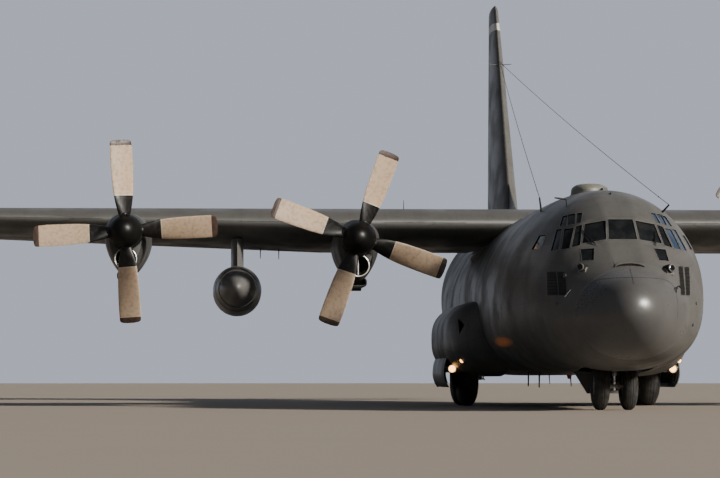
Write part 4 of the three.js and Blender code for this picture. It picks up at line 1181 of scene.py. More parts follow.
@dataclass(frozen=True)
class Hold:
    """The middle of the fuselage with its paratroop doors, and the tail with its ramp and upper door."""

    wall: float = 45.0
    jump_door: tuple[float, float, float, float] = (16330, 17240, 1060, 2890)
    ramp_half: float = 1520.0
    ramp_gap: float = 34.0
    seam_station: float = 20400.0
    seam_top: float = 1930.0
    lean: float = 0.6
    door_back: float = 24600.0
    door_back_half: float = 1000.0
    door_back_gap: float = 40.0
    door_thick: float = 130.0

    def seam_at(self, height: float) -> float:
        """The station of the leaning seam between ramp and door at a height."""
        return self.seam_station + self.lean * (self.seam_top - height)

    def ramp_prism(self, margin: float) -> Surface:
        """The ramp's place, drawn in by a margin; with none it is the opening.

        Args:
            margin: how far its sides are drawn in.

        Returns:
            The closed block.
        """
        front = HOLD_END + (self.ramp_gap if margin else -20)
        behind = 0 if margin else 42
        outline = [(front, 300), (front, 1040), (self.seam_at(self.seam_top) + behind, self.seam_top),
                   (self.seam_at(300) + behind, 300)]
        return prism(outline, 0, -self.ramp_half + margin, self.ramp_half - margin)

    def door_tools(self, margin: float) -> list[Surface]:
        """The upper door's place as two blocks to keep in turn: its plan, then its side view.

        Args:
            margin: how far its sides are drawn in.

        Returns:
            The two closed blocks.
        """
        gap = 42 if margin else 0
        back = self.door_back - (self.door_back_gap if margin else 0)
        wide, narrow = self.ramp_half - margin, self.door_back_half - margin
        plan = prism([(-wide, 20000), (wide, 20000), (narrow, back), (-narrow, back)], 2, 1100, 4000)
        outline = [(self.seam_at(1000) + gap, 1000), (self.seam_at(2200) + gap, 2200), (22500, 2900),
                   (back + 50, 3650), (back + 50, 1000)]
        return [plan, prism(outline, 0, -1600, 1600)]

    def build(self) -> None:
        """Makes the hold, its doors, the tail, the ramp and the upper door."""
        front, back, sill, head = self.jump_door
        stations = np.concatenate([np.linspace(COCKPIT_END + SEAM, 6500, 10),
                                   np.linspace(7000, HOLD_END - SEAM, 30)])
        layer = np.concatenate([HULL.rings(stations), HULL.rings(stations, inset=self.wall)[::-1]])
        ways = [box((1500, 2400), (front, back), (sill, head)).on(side) for _, side in SIDES]
        saddle = box((-2400, 2400), (10560, 16640), (3800, 5200))
        bays = [box((1700, 2600), (11450, 14800), (600, 1640)).on(side) for _, side in SIDES]
        made = carved("hold_skin", grid(layer, looped=True), [("DIFFERENCE", union([*ways, saddle, *bays]))])
        dress(made, [Finish.HULL], replaces=["centre_fuselage"])
        for name, side in SIDES:
            way = box((1500, 2400), (front + 6, back - 6), (sill + 6, head - 6)).on(side)
            made = carved(f"paratroop_door_skin_{name}", grid(layer, looped=True), [("INTERSECT", way)])
            dress(made, [Finish.HULL], replaces=[f"paratroop_door_{name}"])
        refinish("cargo_floor", Finish.CABIN)
        self.build_tail()

    def build_tail(self) -> None:
        """The tail's hollow skin, the solid ramp and the thick upper door."""
        stations = np.concatenate([np.linspace(HOLD_END + SEAM, 26000, 44), np.linspace(26300, LENGTH, 16)])
        inside = np.linspace(HOLD_END - 20, 25400, 34)
        form = grid(HULL.rings(stations))
        hollow = grid(HULL.rings(inside, inset=60.0))
        cut = [("DIFFERENCE", hollow), ("DIFFERENCE", self.ramp_prism(0))]
        plan, outline = self.door_tools(0)
        void = surface_of(carved("void", plan, [("INTERSECT", outline)]))
        made = carved("tail_skin", form, [*cut, ("DIFFERENCE", void)])
        dress(made, [Finish.HULL], replaces=["aft_fuselage"])
        made = carved("ramp_leaf", form, [("INTERSECT", self.ramp_prism(GAP))])
        dress(made, [Finish.HULL], "ramp", ["cargo_ramp"])
        thick = grid(HULL.rings(np.linspace(20000, 24800, 26), inset=self.door_thick))
        plan, outline = self.door_tools(GAP)
        made = carved("upper_door_leaf", form,
                      [("DIFFERENCE", thick), ("INTERSECT", plan), ("INTERSECT", outline)])
        dress(made, [Finish.HULL], "upper_cargo_door", ["cargo_door"])
        slope = [(l, 1040 + (l - 17534) * 0.3069) for l in range(17700, 20300, 200)]
        treads = [box((-1380, 1380), (l, l + 26), (z - 4, z + 12)) for l, z in slope]
        piece("ramp_treads", union(treads), [Finish.DARK], "ramp")


# Wings and tail


class Part(Enum):
    """A part of an aerofoil: all of it, what is before the hinged piece, that piece, or a rib behind it."""

    WHOLE = "whole"
    FIXED = "fixed"
    MOVING = "moving"
    BACK = "back"


@dataclass(frozen=True)
class Section:
    """An aerofoil section's sizes: leading edge station, chord, thickness, camber and hinge place."""

    front: float
    chord: float
    thickness: float
    camber: float
    hinge: float
    clear: float = GAP

    def half(self, share: Array | float) -> Array | float:
        """Half the height at a share of the chord: the four-digit series' polynomial, with a square edge."""
        x = np.minimum(1, share)
        root = 0.2969 * np.sqrt(x) - 0.126 * x - 0.3516 * x**2 + 0.2843 * x**3 - 0.1036 * x**4
        return 5 * self.thickness * root + 5 * x

    def middle(self, share: Array | float) -> Array | float:
        """The camber line: 4 c x (1 - x)."""
        return 4 * self.camber * share * (1 - share)

    def outline(self, part: Part, steps: int = 26) -> Array:
        """The section's outline as (aft, up) pairs.

        Args:
            part: which part of it.
            steps: how many steps along the chord.

        Returns:
            The top from the back to the front, a round nose where the part has one, and the underside.
        """
        nose = float(self.half(self.hinge / self.chord))
        start = {Part.WHOLE: 0, Part.FIXED: 0, Part.MOVING: self.hinge / self.chord,
                 Part.BACK: (self.hinge - nose - 60) / self.chord}[part]
        end = (self.hinge - nose - self.clear) / self.chord if part is Part.FIXED else 1.0
        t = np.linspace(0, 1, steps + 1)
        shares = end * (1 - np.cos(math.pi / 2 * t)) if start == 0 else start + (end - start) * t
        top = np.stack([shares * self.chord, self.middle(shares) + self.half(shares)], 1)[::-1]
        under = np.stack([shares * self.chord, self.middle(shares) - self.half(shares)], 1)
        if part is not Part.MOVING:
            return np.concatenate([top, under[1:] if start == 0 else under])
        bend = math.pi / 2 + math.pi * np.arange(1, 12) / 12
        turn = np.stack([self.hinge + nose * np.cos(bend), self.middle(start) + nose * np.sin(bend)], 1)
        return np.concatenate([top, turn, under])


@dataclass(frozen=True)
class WingLines:
    """The wing's form: a straight middle and a taper beyond the kink."""

    kink: float = 5590.0
    half_span: float = 20205.0
    front: tuple[float, float] = (11000.0, 11600.0)
    chord: tuple[float, float] = (4880.0, 2480.0)
    thick: tuple[float, float] = (870.0, 330.0)
    top: float = 4660.0
    incidence: float = math.radians(5.5)
    hinge: float = 0.75

    def at(self, x: float) -> Section:
        """The section at a distance out, linear from the kink to the tip."""
        t = max(0.0, (abs(x) - self.kink) / (self.half_span - self.kink))
        front, chord, thick = (a + (b - a) * t for a, b in (self.front, self.chord, self.thick))
        return Section(front, chord, thick, 0.02 * chord, self.hinge * chord)

    def placed(self, x: float, outline: Array, size: Section) -> Array:
        """An outline turned by the incidence and hung with its highest point at the wing's top.

        Args:
            x: the distance out.
            outline: (aft, up) pairs.
            size: the section there.

        Returns:
            The points in place.
        """
        c, s = math.cos(self.incidence), math.sin(self.incidence)
        shares = 1 - np.cos(math.pi / 2 * np.linspace(0, 1, 7))
        peak = np.max((size.middle(shares) + size.half(shares)) * c - shares * size.chord * s)
        aft, up = outline.T
        rows = [np.full(len(aft), x), size.front + aft * c + up * s, self.top - peak + up * c - aft * s]
        return np.stack(rows, 1)

    def ring(self, x: float, part: Part) -> Array:
        """One section in place."""
        size = self.at(x)
        return self.placed(x, size.outline(part), size)

    def panel(self, start: float, end: float, part: Part, rows: int = 5) -> Surface:
        """A closed stretch of a part between two distances out."""
        return grid(np.stack([self.ring(x, part) for x in np.linspace(start, end, rows)]))

    def surface_point(self, x: float, share: float, upper: bool = True) -> Array:
        """A point of the skin at a distance out and share of the chord."""
        size = self.at(x)
        up = size.middle(share) + (1 if upper else -1) * size.half(share)
        return self.placed(x, np.array([[share * size.chord, up]]), size)[0]


WING = WingLines()


@dataclass(frozen=True)
class Wing:
    """The wing's middle, outer panels, flaps and ailerons."""

    flap_root: float = 2260.0
    aileron_root: float = 11300.0
    aileron_tip: float = 19560.0
    clear: float = GAP
    end_gap: float = 34.0

    def tip(self) -> Surface:
        """The rounded tip: sections that thin and shorten as t goes round a quarter circle."""
        rows = [WING.ring(self.aileron_tip, Part.WHOLE)]
        for t in np.linspace(0, math.radians(84), 8):
            x = WING.half_span - 180 + 180 * math.sin(t) / math.sin(math.radians(84))
            size, shrink = WING.at(x), 1 - math.cos(t)
            rounded = Section(size.front + 150 * shrink, size.chord * (1 - 0.12 * shrink),
                              size.thickness * max(0.12, math.cos(t)), size.camber, size.hinge)
            row = WING.placed(x, rounded.outline(Part.WHOLE), rounded)
            row[:, 2] -= 60 * shrink
            rows.append(row)
        return grid(np.stack(rows))

    def build(self) -> None:
        """Makes the middle with its fairing, and each side's panels and hinged pieces."""
        parts = [WING.panel(-WING.kink, WING.kink, Part.FIXED), self.fairing()]
        for name, side in SIDES:
            parts.append(WING.panel(1860, self.flap_root - self.clear, Part.BACK).on(side))
            parts.append(WING.panel(WING.kink - 80, WING.kink, Part.BACK).on(side))
            outer = union([
                WING.panel(WING.kink + 1, self.aileron_tip + 10, Part.FIXED, rows=9),
                WING.panel(WING.kink + 1, WING.kink + 80, Part.BACK),
                WING.panel(self.aileron_root - 40, self.aileron_root + 40, Part.BACK),
                self.tip(),
            ])
            piece(f"outer_wing_{name}", outer.on(side), [Finish.WING],
                  replaces=[f"wing_{name}"])
            runs = {
                f"inner_flap_{name}": (self.flap_root, WING.kink - 80 - self.clear, f"flap_inner_{name}"),
                f"outer_flap_{name}": (WING.kink + 80 + self.clear, self.aileron_root - 40 - self.clear,
                                       f"flap_outer_{name}"),
                f"{name}_aileron": (self.aileron_root + 40 + self.end_gap, self.aileron_tip - self.end_gap,
                                    f"aileron_{name}"),
            }
            for body, (root, tip, node) in runs.items():
                moving = WING.panel(root, tip, Part.MOVING)
                piece(f"{node}_skin", moving.on(side), [Finish.WING], body, [node])
        piece("wing_middle", union(parts), [Finish.WING], replaces=["wing_centre"])

    def fairing(self) -> Surface:
        """The fairing over the fuselage: its rings above the sides, swelled by 75 sin^2 lengthwise."""
        stations = np.linspace(10550, 16650, 40)
        angles = np.linspace(math.radians(37), math.radians(143), 61)
        swell = -75 * np.sin(math.pi * (stations - 10550) / 6100) ** 2
        outer = HULL.rings(stations, inset=swell - 1.0, angles=angles)
        inner = HULL.rings(stations, inset=40.0, angles=angles)
        return grid(np.concatenate([outer, inner[:, ::-1]], 1))


@dataclass(frozen=True)
class Tail:
    """The tailplane with its elevators, and the fin with its rudder and dorsal fillet."""

    half: float = 8025.0
    height: float = 5020.0
    elevator_hinge: float = 27400.0
    elevator_root: float = 960.0
    fin_base: float = 4500.0
    fin_top: float = 11660.0
    rudder: tuple[float, float] = (5380.0, 11080.0)

    def tail_at(self, x: float) -> Section:
        """The tailplane's section at a distance out."""
        t = abs(x) / self.half
        front, back, thick = 24300 + 1700 * t, 28750 - 600 * t, 530 - 315 * t
        return Section(front, back - front, thick, 0.0, self.elevator_hinge - front)

    def fin_at(self, z: float) -> Section:
        """The fin's section at a height."""
        t = (z - self.fin_base) / (self.fin_top - self.fin_base)
        front, back, thick = 21700 + 4500 * t, 28560 - 440 * t, 720 - 520 * t
        line = 26900 + 550 * (z - self.rudder[0]) / (self.rudder[1] - self.rudder[0])
        return Section(front, back - front, thick, 0.0, line - front)

    def tail_row(self, x: float, part: Part, size: Section | None = None) -> Array:
        """A section of the tailplane in place."""
        size = size or self.tail_at(x)
        aft, up = size.outline(part).T
        return np.stack([np.full(len(aft), x), size.front + aft, self.height + up], 1)

    def fin_row(self, z: float, part: Part, size: Section | None = None) -> Array:
        """A section of the fin in place."""
        size = size or self.fin_at(z)
        aft, out = size.outline(part).T
        return np.stack([out, size.front + aft, np.full(len(aft), z)], 1)

    def panel(self, row: Callable[[float, Part], Array], start: float, end: float, part: Part,
              tone: int = 0) -> Surface:
        """A closed stretch between two places, by one of the two row methods."""
        return grid(np.stack([row(v, part) for v in np.linspace(start, end, 4)]), tone=tone)

    def build(self) -> None:
        """Makes the tailplane, elevators, fin and rudder."""
        root, end = self.elevator_root, self.half - 290
        halves, moving = [], []
        for _, side in SIDES:
            rows = [self.tail_row(end, Part.WHOLE)]
            for t in np.linspace(0, math.radians(82), 7):
                x = self.half - 150 + 150 * math.sin(t) / math.sin(math.radians(82))
                size, shrink = self.tail_at(x), 1 - math.cos(t)
                small = Section(size.front + 130 * shrink, size.chord - 240 * shrink,
                                size.thickness * max(0.15, math.cos(t)), 0.0, size.hinge)
                rows.append(self.tail_row(x, Part.WHOLE, small))
            halves += [self.panel(self.tail_row, 300, end + 10, Part.FIXED).on(side),
                       self.panel(self.tail_row, 300, root - GAP, Part.WHOLE).on(side),
                       grid(np.stack(rows)).on(side)]
            moving.append(self.panel(self.tail_row, root, end - GAP, Part.MOVING).on(side))
        piece("tailplane_skin", union(halves), [Finish.WING], replaces=["tailplane"])
        corners = [prism([(900, 27500), (980, 27500), (1280, 29000), (900, 29000)], 2, 4000, 6000).on(side)
                   for _, side in SIDES]
        made = carved("elevator_skins", union(moving), [("DIFFERENCE", union(corners))])
        dress(made, [Finish.WING], "elevator_pair", ["elevators"])
        self.build_fin()

    def build_fin(self) -> None:
        """The fin with its pale band and rounded cap, the long fillet and the rudder."""
        low, high = self.rudder
        band = (10850.0, 11080.0)
        whole = [high + 34, self.fin_top - 180]
        rows = [self.fin_row(z, Part.WHOLE) for z in np.linspace(*whole, 4)]
        for t in np.linspace(0.2, math.radians(84), 7):
            z = self.fin_top - 180 + 180 * math.sin(t) / math.sin(math.radians(84))
            size, shrink = self.fin_at(z), 1 - math.cos(t)
            small = Section(size.front + 170 * shrink, size.chord * (1 - 0.14 * shrink),
                            size.thickness * max(0.3, math.cos(t)), 0.0, size.hinge)
            rows.append(self.fin_row(z, Part.WHOLE, small))
        parts = [
            self.panel(self.fin_row, self.fin_base + 60, band[0], Part.FIXED),
            self.panel(self.fin_row, band[0], band[1], Part.FIXED, tone=1),
            self.panel(self.fin_row, band[1], high + 44, Part.FIXED),
            self.panel(self.fin_row, self.height, low - 34, Part.WHOLE),
            grid(np.stack(rows)),
            self.fillet(),
        ]
        piece("fin_skin", union(parts), [Finish.FIN, Finish.BAND], replaces=["fin"])
        rudder = union([self.panel(self.fin_row, low, band[0], Part.MOVING),
                        self.panel(self.fin_row, band[0], band[1], Part.MOVING, tone=1),
                        self.panel(self.fin_row, band[1], high, Part.MOVING)])
        piece("rudder_skin", rudder, [Finish.FIN, Finish.BAND], "rudder_leaf", ["rudder"])

    def fillet(self) -> Surface:
        """The dorsal fillet: at each station a section that narrows upwards from the fuselage's back as
        half (1 - v)^1.6, v from nought at its foot to one at its crest."""
        table = np.array([[18600, 4670, 40], [20300, 5050, 150],
                          [21700, 5550, 240], [23300, 6450, 150]], float)
        stations = np.linspace(18600, 23300, 24)
        crest, half = smooth_rows(table, stations).T
        v = np.linspace(0, 1, 14)
        out = half[:, None] * (1 - v) ** 1.6 + 12
        high = 4500 + (crest - 4500)[:, None] * v
        right = np.stack([out, np.broadcast_to(stations[:, None], out.shape), high], -1)
        left = right[:, ::-1] * np.array([-1, 1, 1])
        return grid(np.concatenate([right, left], 1))


# Power plants and tanks


@dataclass(frozen=True)
class PowerPlant:
    """One nacelle with its intake, oil cooler and exhaust, and its propeller."""

    number: int
    x: float
    height: float
    stop: float
    face: float = 8990.0
    disc: float = 8750.0
    radius: float = 2057.0
    sections: Array = field(default_factory=lambda: np.array([
        [8990, 400, 400, 900],
        [9250, 480, 450, 960],
        [9900, 520, 470, 980],
        [10900, 520, 440, 960],
        [12200, 500, 300, 860],
        [13300, 430, 200, 700],
        [14050, 300, 60, 480],
    ], float))

    def rings(self, stations: Array, shrink: Array | float = 0.0, points: int = 72) -> Array:
        """The nacelle's rings.

        Args:
            stations: where they stand.
            shrink: how far each is drawn in.
            points: how many points round.

        Returns:
            Half ellipses above and below the axis; the lower one is pinched by 0.28 sin^2 a.
        """
        stations = np.asarray(stations, float)
        half, top, bottom = smooth_rows(self.sections, stations).T[:, :, None]
        shrink = np.broadcast_to(np.asarray(shrink, float), len(stations))[:, None]
        angle = 2 * math.pi * (np.arange(points) + 0.5) / points
        c, s = np.cos(angle)[None], np.sin(angle)[None]
        pinch = np.where(s < 0, 1 - 0.28 * s * s, 1.0)
        x = self.x + (half - shrink) * pinch * c
        z = self.height + (np.where(s < 0, bottom, top) - shrink) * s
        return np.stack([x, np.broadcast_to(stations[:, None], x.shape), z], -1)

    def build(self) -> None:
        """Makes the nacelle, its inner and bright parts, and the propeller."""
        t = np.linspace(math.radians(8), math.pi / 2, 7)
        nose = self.rings(np.full(7, self.face), 46 * (1 - np.sin(t)))
        nose[:, :, 1] = (self.face + 30 - 44 * np.cos(t))[:, None]
        body = grid(np.concatenate([nose, self.rings(np.linspace(9060, 14050, 44))]))
        duct = np.array([[self.face - 60, 610, 232], [9060, 606, 226], [9250, 590, 220], [9800, 330, 160]])
        angle = around(48)
        rows = np.array([[(self.x + r * math.cos(a), l, self.height - d + r * math.sin(a)) for a in angle]
                         for l, d, r in duct])
        hub_room = turned([(395, self.face - 60), (395, self.face + 40), (300, self.face + 60)],
                          (self.x, 0, self.height), 1)
        hole = turned([(190, 13500), (190, 14200)], (self.x, 0, self.height - 220), 1)
        steps = [("DIFFERENCE", grid(rows)), ("DIFFERENCE", hub_room), ("DIFFERENCE", hole)]
        made = carved(f"nacelle_skin_{self.number}", body, steps)
        dress(made, [Finish.NACELLE], replaces=[f"nacelle_{self.number}"])
        refinish(f"engine_{self.number}", Finish.EXHAUST)
        self.build_intake()
        self.build_cooler()
        self.build_propeller()

    def build_intake(self) -> None:
        """The intake's bright lip, its dark lining with a vane, the ring round the spinner, and the
        pipe."""
        x, z = self.x, self.height
        lip = torus((x, self.face - 12, z - 610), 1, 240, 20, points=64, tone=0)
        lining = turned([(222, self.face), (216, 9250), (150, 9790), (146, 9790), (212, 9250),
                         (218, self.face)],
                        (x, 0, z - 600), 1, 48, tone=1, looped=True)
        back = turned([(0.5, 9700), (150, 9700), (150, 9712), (0.5, 9712)], (x, 0, z - 600), 1, 32, tone=1)
        vane = box((x - 9, x + 9), (9060, 9200), (z - 825, z - 395))
        seal = torus((x, self.face + 8, z), 1, 388, 12, points=64, tone=1)
        pipe = turned([(188, 13560), (188, 14120), (176, 14140), (164, 14120), (164, 13560)], (x, 0, z - 220),
                      1, 48, tone=2, looped=True)
        parts = [lip, lining, back, vane, seal, pipe]
        piece(f"intake_{self.number}", union(parts), [Finish.LIP, Finish.DARK, Finish.EXHAUST])

    def build_cooler(self) -> None:
        """The oil cooler below: a scoop with a rounded mouth, a grille in it and a flap behind."""
        x, z = self.x, self.height
        angle = around(48)
        c, s = np.cos(angle), np.sin(angle)
        shape = np.stack([np.sign(c) * np.abs(c) ** 0.6, np.zeros(48), np.sign(s) * np.abs(s) ** 0.6], 1)
        rows = [(9300, 190, 92), (9312, 206, 108), (9420, 214, 116), (10300, 210, 112), (10690, 180, 70)]
        inner = [(9306, 176, 78), (9560, 172, 76)]
        scoop = grid(np.array([shape * (w, 0, h) + (x, l, z - 968) for l, w, h in [*rows[::-1], *inner]]))
        bars = [box((x - 172, x + 172), (9470, 9482), (z - 968 + k - 3, z - 968 + k + 3), tone=1)
                for k in range(-66, 67, 22)]
        flap = prism([(10500, z - 1040), (10760, z - 1120), (10760, z - 1104), (10500, z - 1020)], 0,
                     x - 150, x + 150, tone=0)
        piece(f"oil_cooler_{self.number}", union([scoop, *bars, flap]), [Finish.NACELLE, Finish.BROWN_AND_SHADE])

    def blade_rows(self, outs: Array, chord: Array, thick: Array, pitch: Array, points: int = 28) -> Array:
        """Blade sections at distances out: half the chord times cos a across, half the thickness times
        |sin a|^1.15 deep, turned by the pitch.

        Args:
            outs: the distances from the axis.
            chord: the chord at each.
            thick: the thickness at each.
            pitch: the turn at each, in degrees.
            points: how many points round.

        Returns:
            Distances x points x 3.
        """
        a = around(points)[None]
        across = chord[:, None] / 2 * np.cos(a)
        deep = thick[:, None] / 2 * np.sign(np.sin(a)) * np.abs(np.sin(a)) ** 1.15
        turn = np.radians(pitch)[:, None]
        x = across * np.cos(turn) - deep * np.sin(turn)
        y = across * np.sin(turn) + deep * np.cos(turn)
        return np.stack([x, y, np.broadcast_to(outs[:, None], x.shape)], -1)

    def blade(self) -> Surface:
        """One blade upwards from the axis: black cuff, pale ring, tan blade and dark rounded tip."""
        table = np.array([
            [250, 236, 196, 38], [420, 330, 190, 36], [620, 430, 150, 33],
            [820, 480, 96, 28], [1100, 512, 66, 24], [1400, 520, 54, 21],
            [1750, 512, 40, 17], [1960, 498, 32, 16], [2057, 470, 24, 15],
        ], float)

        def stretch(start: float, end: float, rows: int, tone: int, round_tip: bool = False) -> Surface:
            """A stretch of the blade.

            Args:
                start: its first distance from the axis.
                end: its last one.
                rows: how many sections it has.
                tone: the faces' tone.
                round_tip: whether its sections shrink towards the tip.

            Returns:
                The closed stretch.
            """
            outs = np.linspace(start, end, rows)
            chord, thick, pitch = smooth_rows(table, outs).T
            if round_tip:
                share = np.clip((outs - 1985) / (self.radius - 1985), 0, 0.985)
                chord, thick = chord * (1 - share**3) ** 0.35, thick * (1 - 0.6 * share)
            return grid(self.blade_rows(outs, chord, thick, pitch), tone=tone)

        return union([stretch(250, 800, 12, 1), stretch(800, 822, 2, 3), stretch(822, 1930, 16, 0),
                      stretch(1930, self.radius, 12, 2, True)])

    def build_propeller(self) -> None:
        """The spinner with its cuff collars, and the four blades at the angle where they stopped."""
        t = np.linspace(math.radians(3), math.pi / 2, 16)
        profile = np.stack([385 * np.sin(t) ** 0.9, -560 + 560 * (1 - np.cos(t))], 1)
        profile = np.concatenate([profile, [(398, 70), (398, 150), (385, 156), (0.5, 156)]])
        hub = (self.x, self.disc + 60, self.height)
        spinner = turned(profile, hub, 1, 64, tone=4)
        seam = torus((self.x, self.disc - 130, self.height), 1, 376, 5, points=64, tone=1)
        shaft = turned([(90, 0), (90, 1049)], (self.x, self.disc, self.height), 1, 24, tone=4)
        parts = [spinner, seam, shaft]
        collar = tube([(0, 0, 300), (0, 0, 400), (0, 0, 412)], np.array([128, 126, 118]), 28, tone=4)
        for turn in (0, 90, 180, 270):
            for form in (self.blade(), collar):
                parts.append(form.turned(1, turn + self.stop).moved((self.x, self.disc, self.height)))
        finishes = [Finish.BLADE, Finish.CUFF, Finish.TIP, Finish.STRIPE, Finish.HUB]
        piece(f"propeller_blades_{self.number}", union(parts), finishes, f"screw_{self.number}",
              [f"propeller_{self.number}"])


POWER_PLANTS = (
    PowerPlant(1, 10160, 3930, 12),
    PowerPlant(2, 4930, 3790, 35),
    PowerPlant(3, -4930, 3790, 20),
    PowerPlant(4, -10160, 3930, -3.5),
)


@dataclass(frozen=True)
class Tank:
    """A fuel tank below the wing on its pylon."""

    offset: float = 7650.0
    height: float = 2700.0
    radius: float = 570.0
    front: float = 9350.0
    length: float = 7400.0

    def build(self) -> None:
        """Makes both tanks: an elliptic nose, a long tapering tail, gasket rings, a cap and the pylon."""
        t = np.concatenate([0.5 * (1 - np.cos(np.linspace(0.03, math.pi / 2, 18))), np.linspace(0.52, 1, 26)])
        nose = np.sqrt(np.maximum(0, 1 - (1 - np.minimum(t, 0.3) / 0.3) ** 2))
        size = np.where(t < 0.3, nose, 1 - np.maximum(0, (t - 0.45) / 0.55) ** 1.66)
        profile = np.stack([np.maximum(self.radius * size, 1.0), t * self.length], 1)
        shape = [(0, 11450), (70, 11560), (110, 11700), (138, 11920), (150, 12200), (146, 12700),
                 (120, 13300), (60, 13800), (0, 14100)]
        plan = [*shape, *[(-w, l) for w, l in shape[-2:0:-1]]]
        gaskets = ((0.16, 500, 9, 72), (0.45, 570, 6, 72), (0.10, 428, 8, 64))
        top = float(WING.surface_point(self.offset, 0.3, False)[2]) + 60
        for name, side in SIDES:
            x = side * self.offset
            body = turned(profile, (x, self.front, self.height), 1, 72)
            rings = []
            for share, radius, thick, points in gaskets:
                at = (x, self.front + share * self.length, self.height)
                rings.append(torus(at, 1, radius, thick, points=points, tone=1))
            pylon = prism([(x + w, l) for w, l in plan], 2, self.height + 300, top)
            cap = turned([(0.5, 0), (70, 0), (62, 14), (0.5, 16)],
                         (x + 180, self.front + 3000, self.height + 540), 2, 24, tone=2)
            finishes = [Finish.TANK, Finish.GASKET, Finish.TRIM]
            piece(f"tank_{name}", union([body, *rings, pylon, cap]), finishes,
                  replaces=[f"external_tank_{name}"])


# Landing gear


@dataclass(frozen=True)
class WheelSize:
    """A tyre's and rim's sizes."""

    radius: float
    width: float
    rim: float

    def tyre(self, centre: Sequence[float]) -> Surface:
        """The tyre about its centre.

        Args:
            centre: the wheel's middle.

        Returns:
            A turned profile: over v from -1 to 1 across the tyre, a radius of
            rim + (radius - rim) (1 - |v|^2.6)^(1 / 2.3), with four grooves in the tread and the lowest points
            lifted to just over the ground.
        """
        v = np.linspace(-1, 1, 41)
        side = np.abs(v) ** 2.6
        radius = self.rim + (self.radius - self.rim) * (1 - side) ** (1 / 2.3)
        groove = sum(np.exp(-((v - k) / 0.028) ** 2) for k in (-0.42, -0.14, 0.14, 0.42))
        radius = np.maximum(radius - 12 * groove, self.rim)
        profile = [(self.rim - 4, -0.80 * self.width / 2), *zip(radius[1:-1], v[1:-1] * self.width / 2),
                   (self.rim - 4, 0.80 * self.width / 2)]
        made = turned(profile, centre, 0, 96, looped=True)
        made.points[:, 2] = np.maximum(made.points[:, 2], 1.0)
        return made

    def wheel(self, centre: Sequence[float], bore: float, out: int) -> Surface:
        """The wheel: a dished rim with a hub, ten lightening holes' rims and ten bolts.

        Args:
            centre: the wheel's middle.
            bore: the hub's bore.
            out: the way its outer face points, 1 or -1.

        Returns:
            The wheel.
        """
        half = self.width * 0.36
        profile = [(bore, -half * 0.6), (self.rim * 0.72, -half * 0.5), (self.rim * 0.9, -half * 0.9),
                   (self.rim - 6, -half), (self.rim - 2, -half * 0.92), (self.rim - 8, -half * 0.6),
                   (self.rim - 8, half * 0.6), (self.rim - 2, half * 0.92), (self.rim - 6, half),
                   (self.rim * 0.9, half * 0.86), (self.rim * 0.78, half * 0.45),
                   (self.rim * 0.46, half * 0.38),
                   (self.rim * 0.42, half * 0.9), (self.rim * 0.3, half), (bore, half)]
        if out < 0:
            profile = [(r, -h) for r, h in profile]
        parts = [turned(profile, centre, 0, 72, looped=True)]
        for k in range(10):
            a = 2 * math.pi * k / 10
            spot = np.array([0.0, math.cos(a), math.sin(a)])
            at = np.asarray(centre) + spot * self.rim * 0.6 + np.array([out * half * 0.42, 0, 0])
            parts.append(torus(at, 0, self.rim * 0.085, 5, points=16, tone=1))
            bolt = np.asarray(centre) + spot * self.rim * 0.36 + np.array([out * half * 0.97, 0, 0])
            head = [(0.5, 0), (11, 0), (11, out * 12), (0.5, out * 14)]
            parts.append(turned(head, bolt, 0, 6))
        return union(parts)


MAIN = WheelSize(710, 508, 260)
NOSE = WheelSize(495, 330, 205)
REST = math.cos(math.pi / 20)


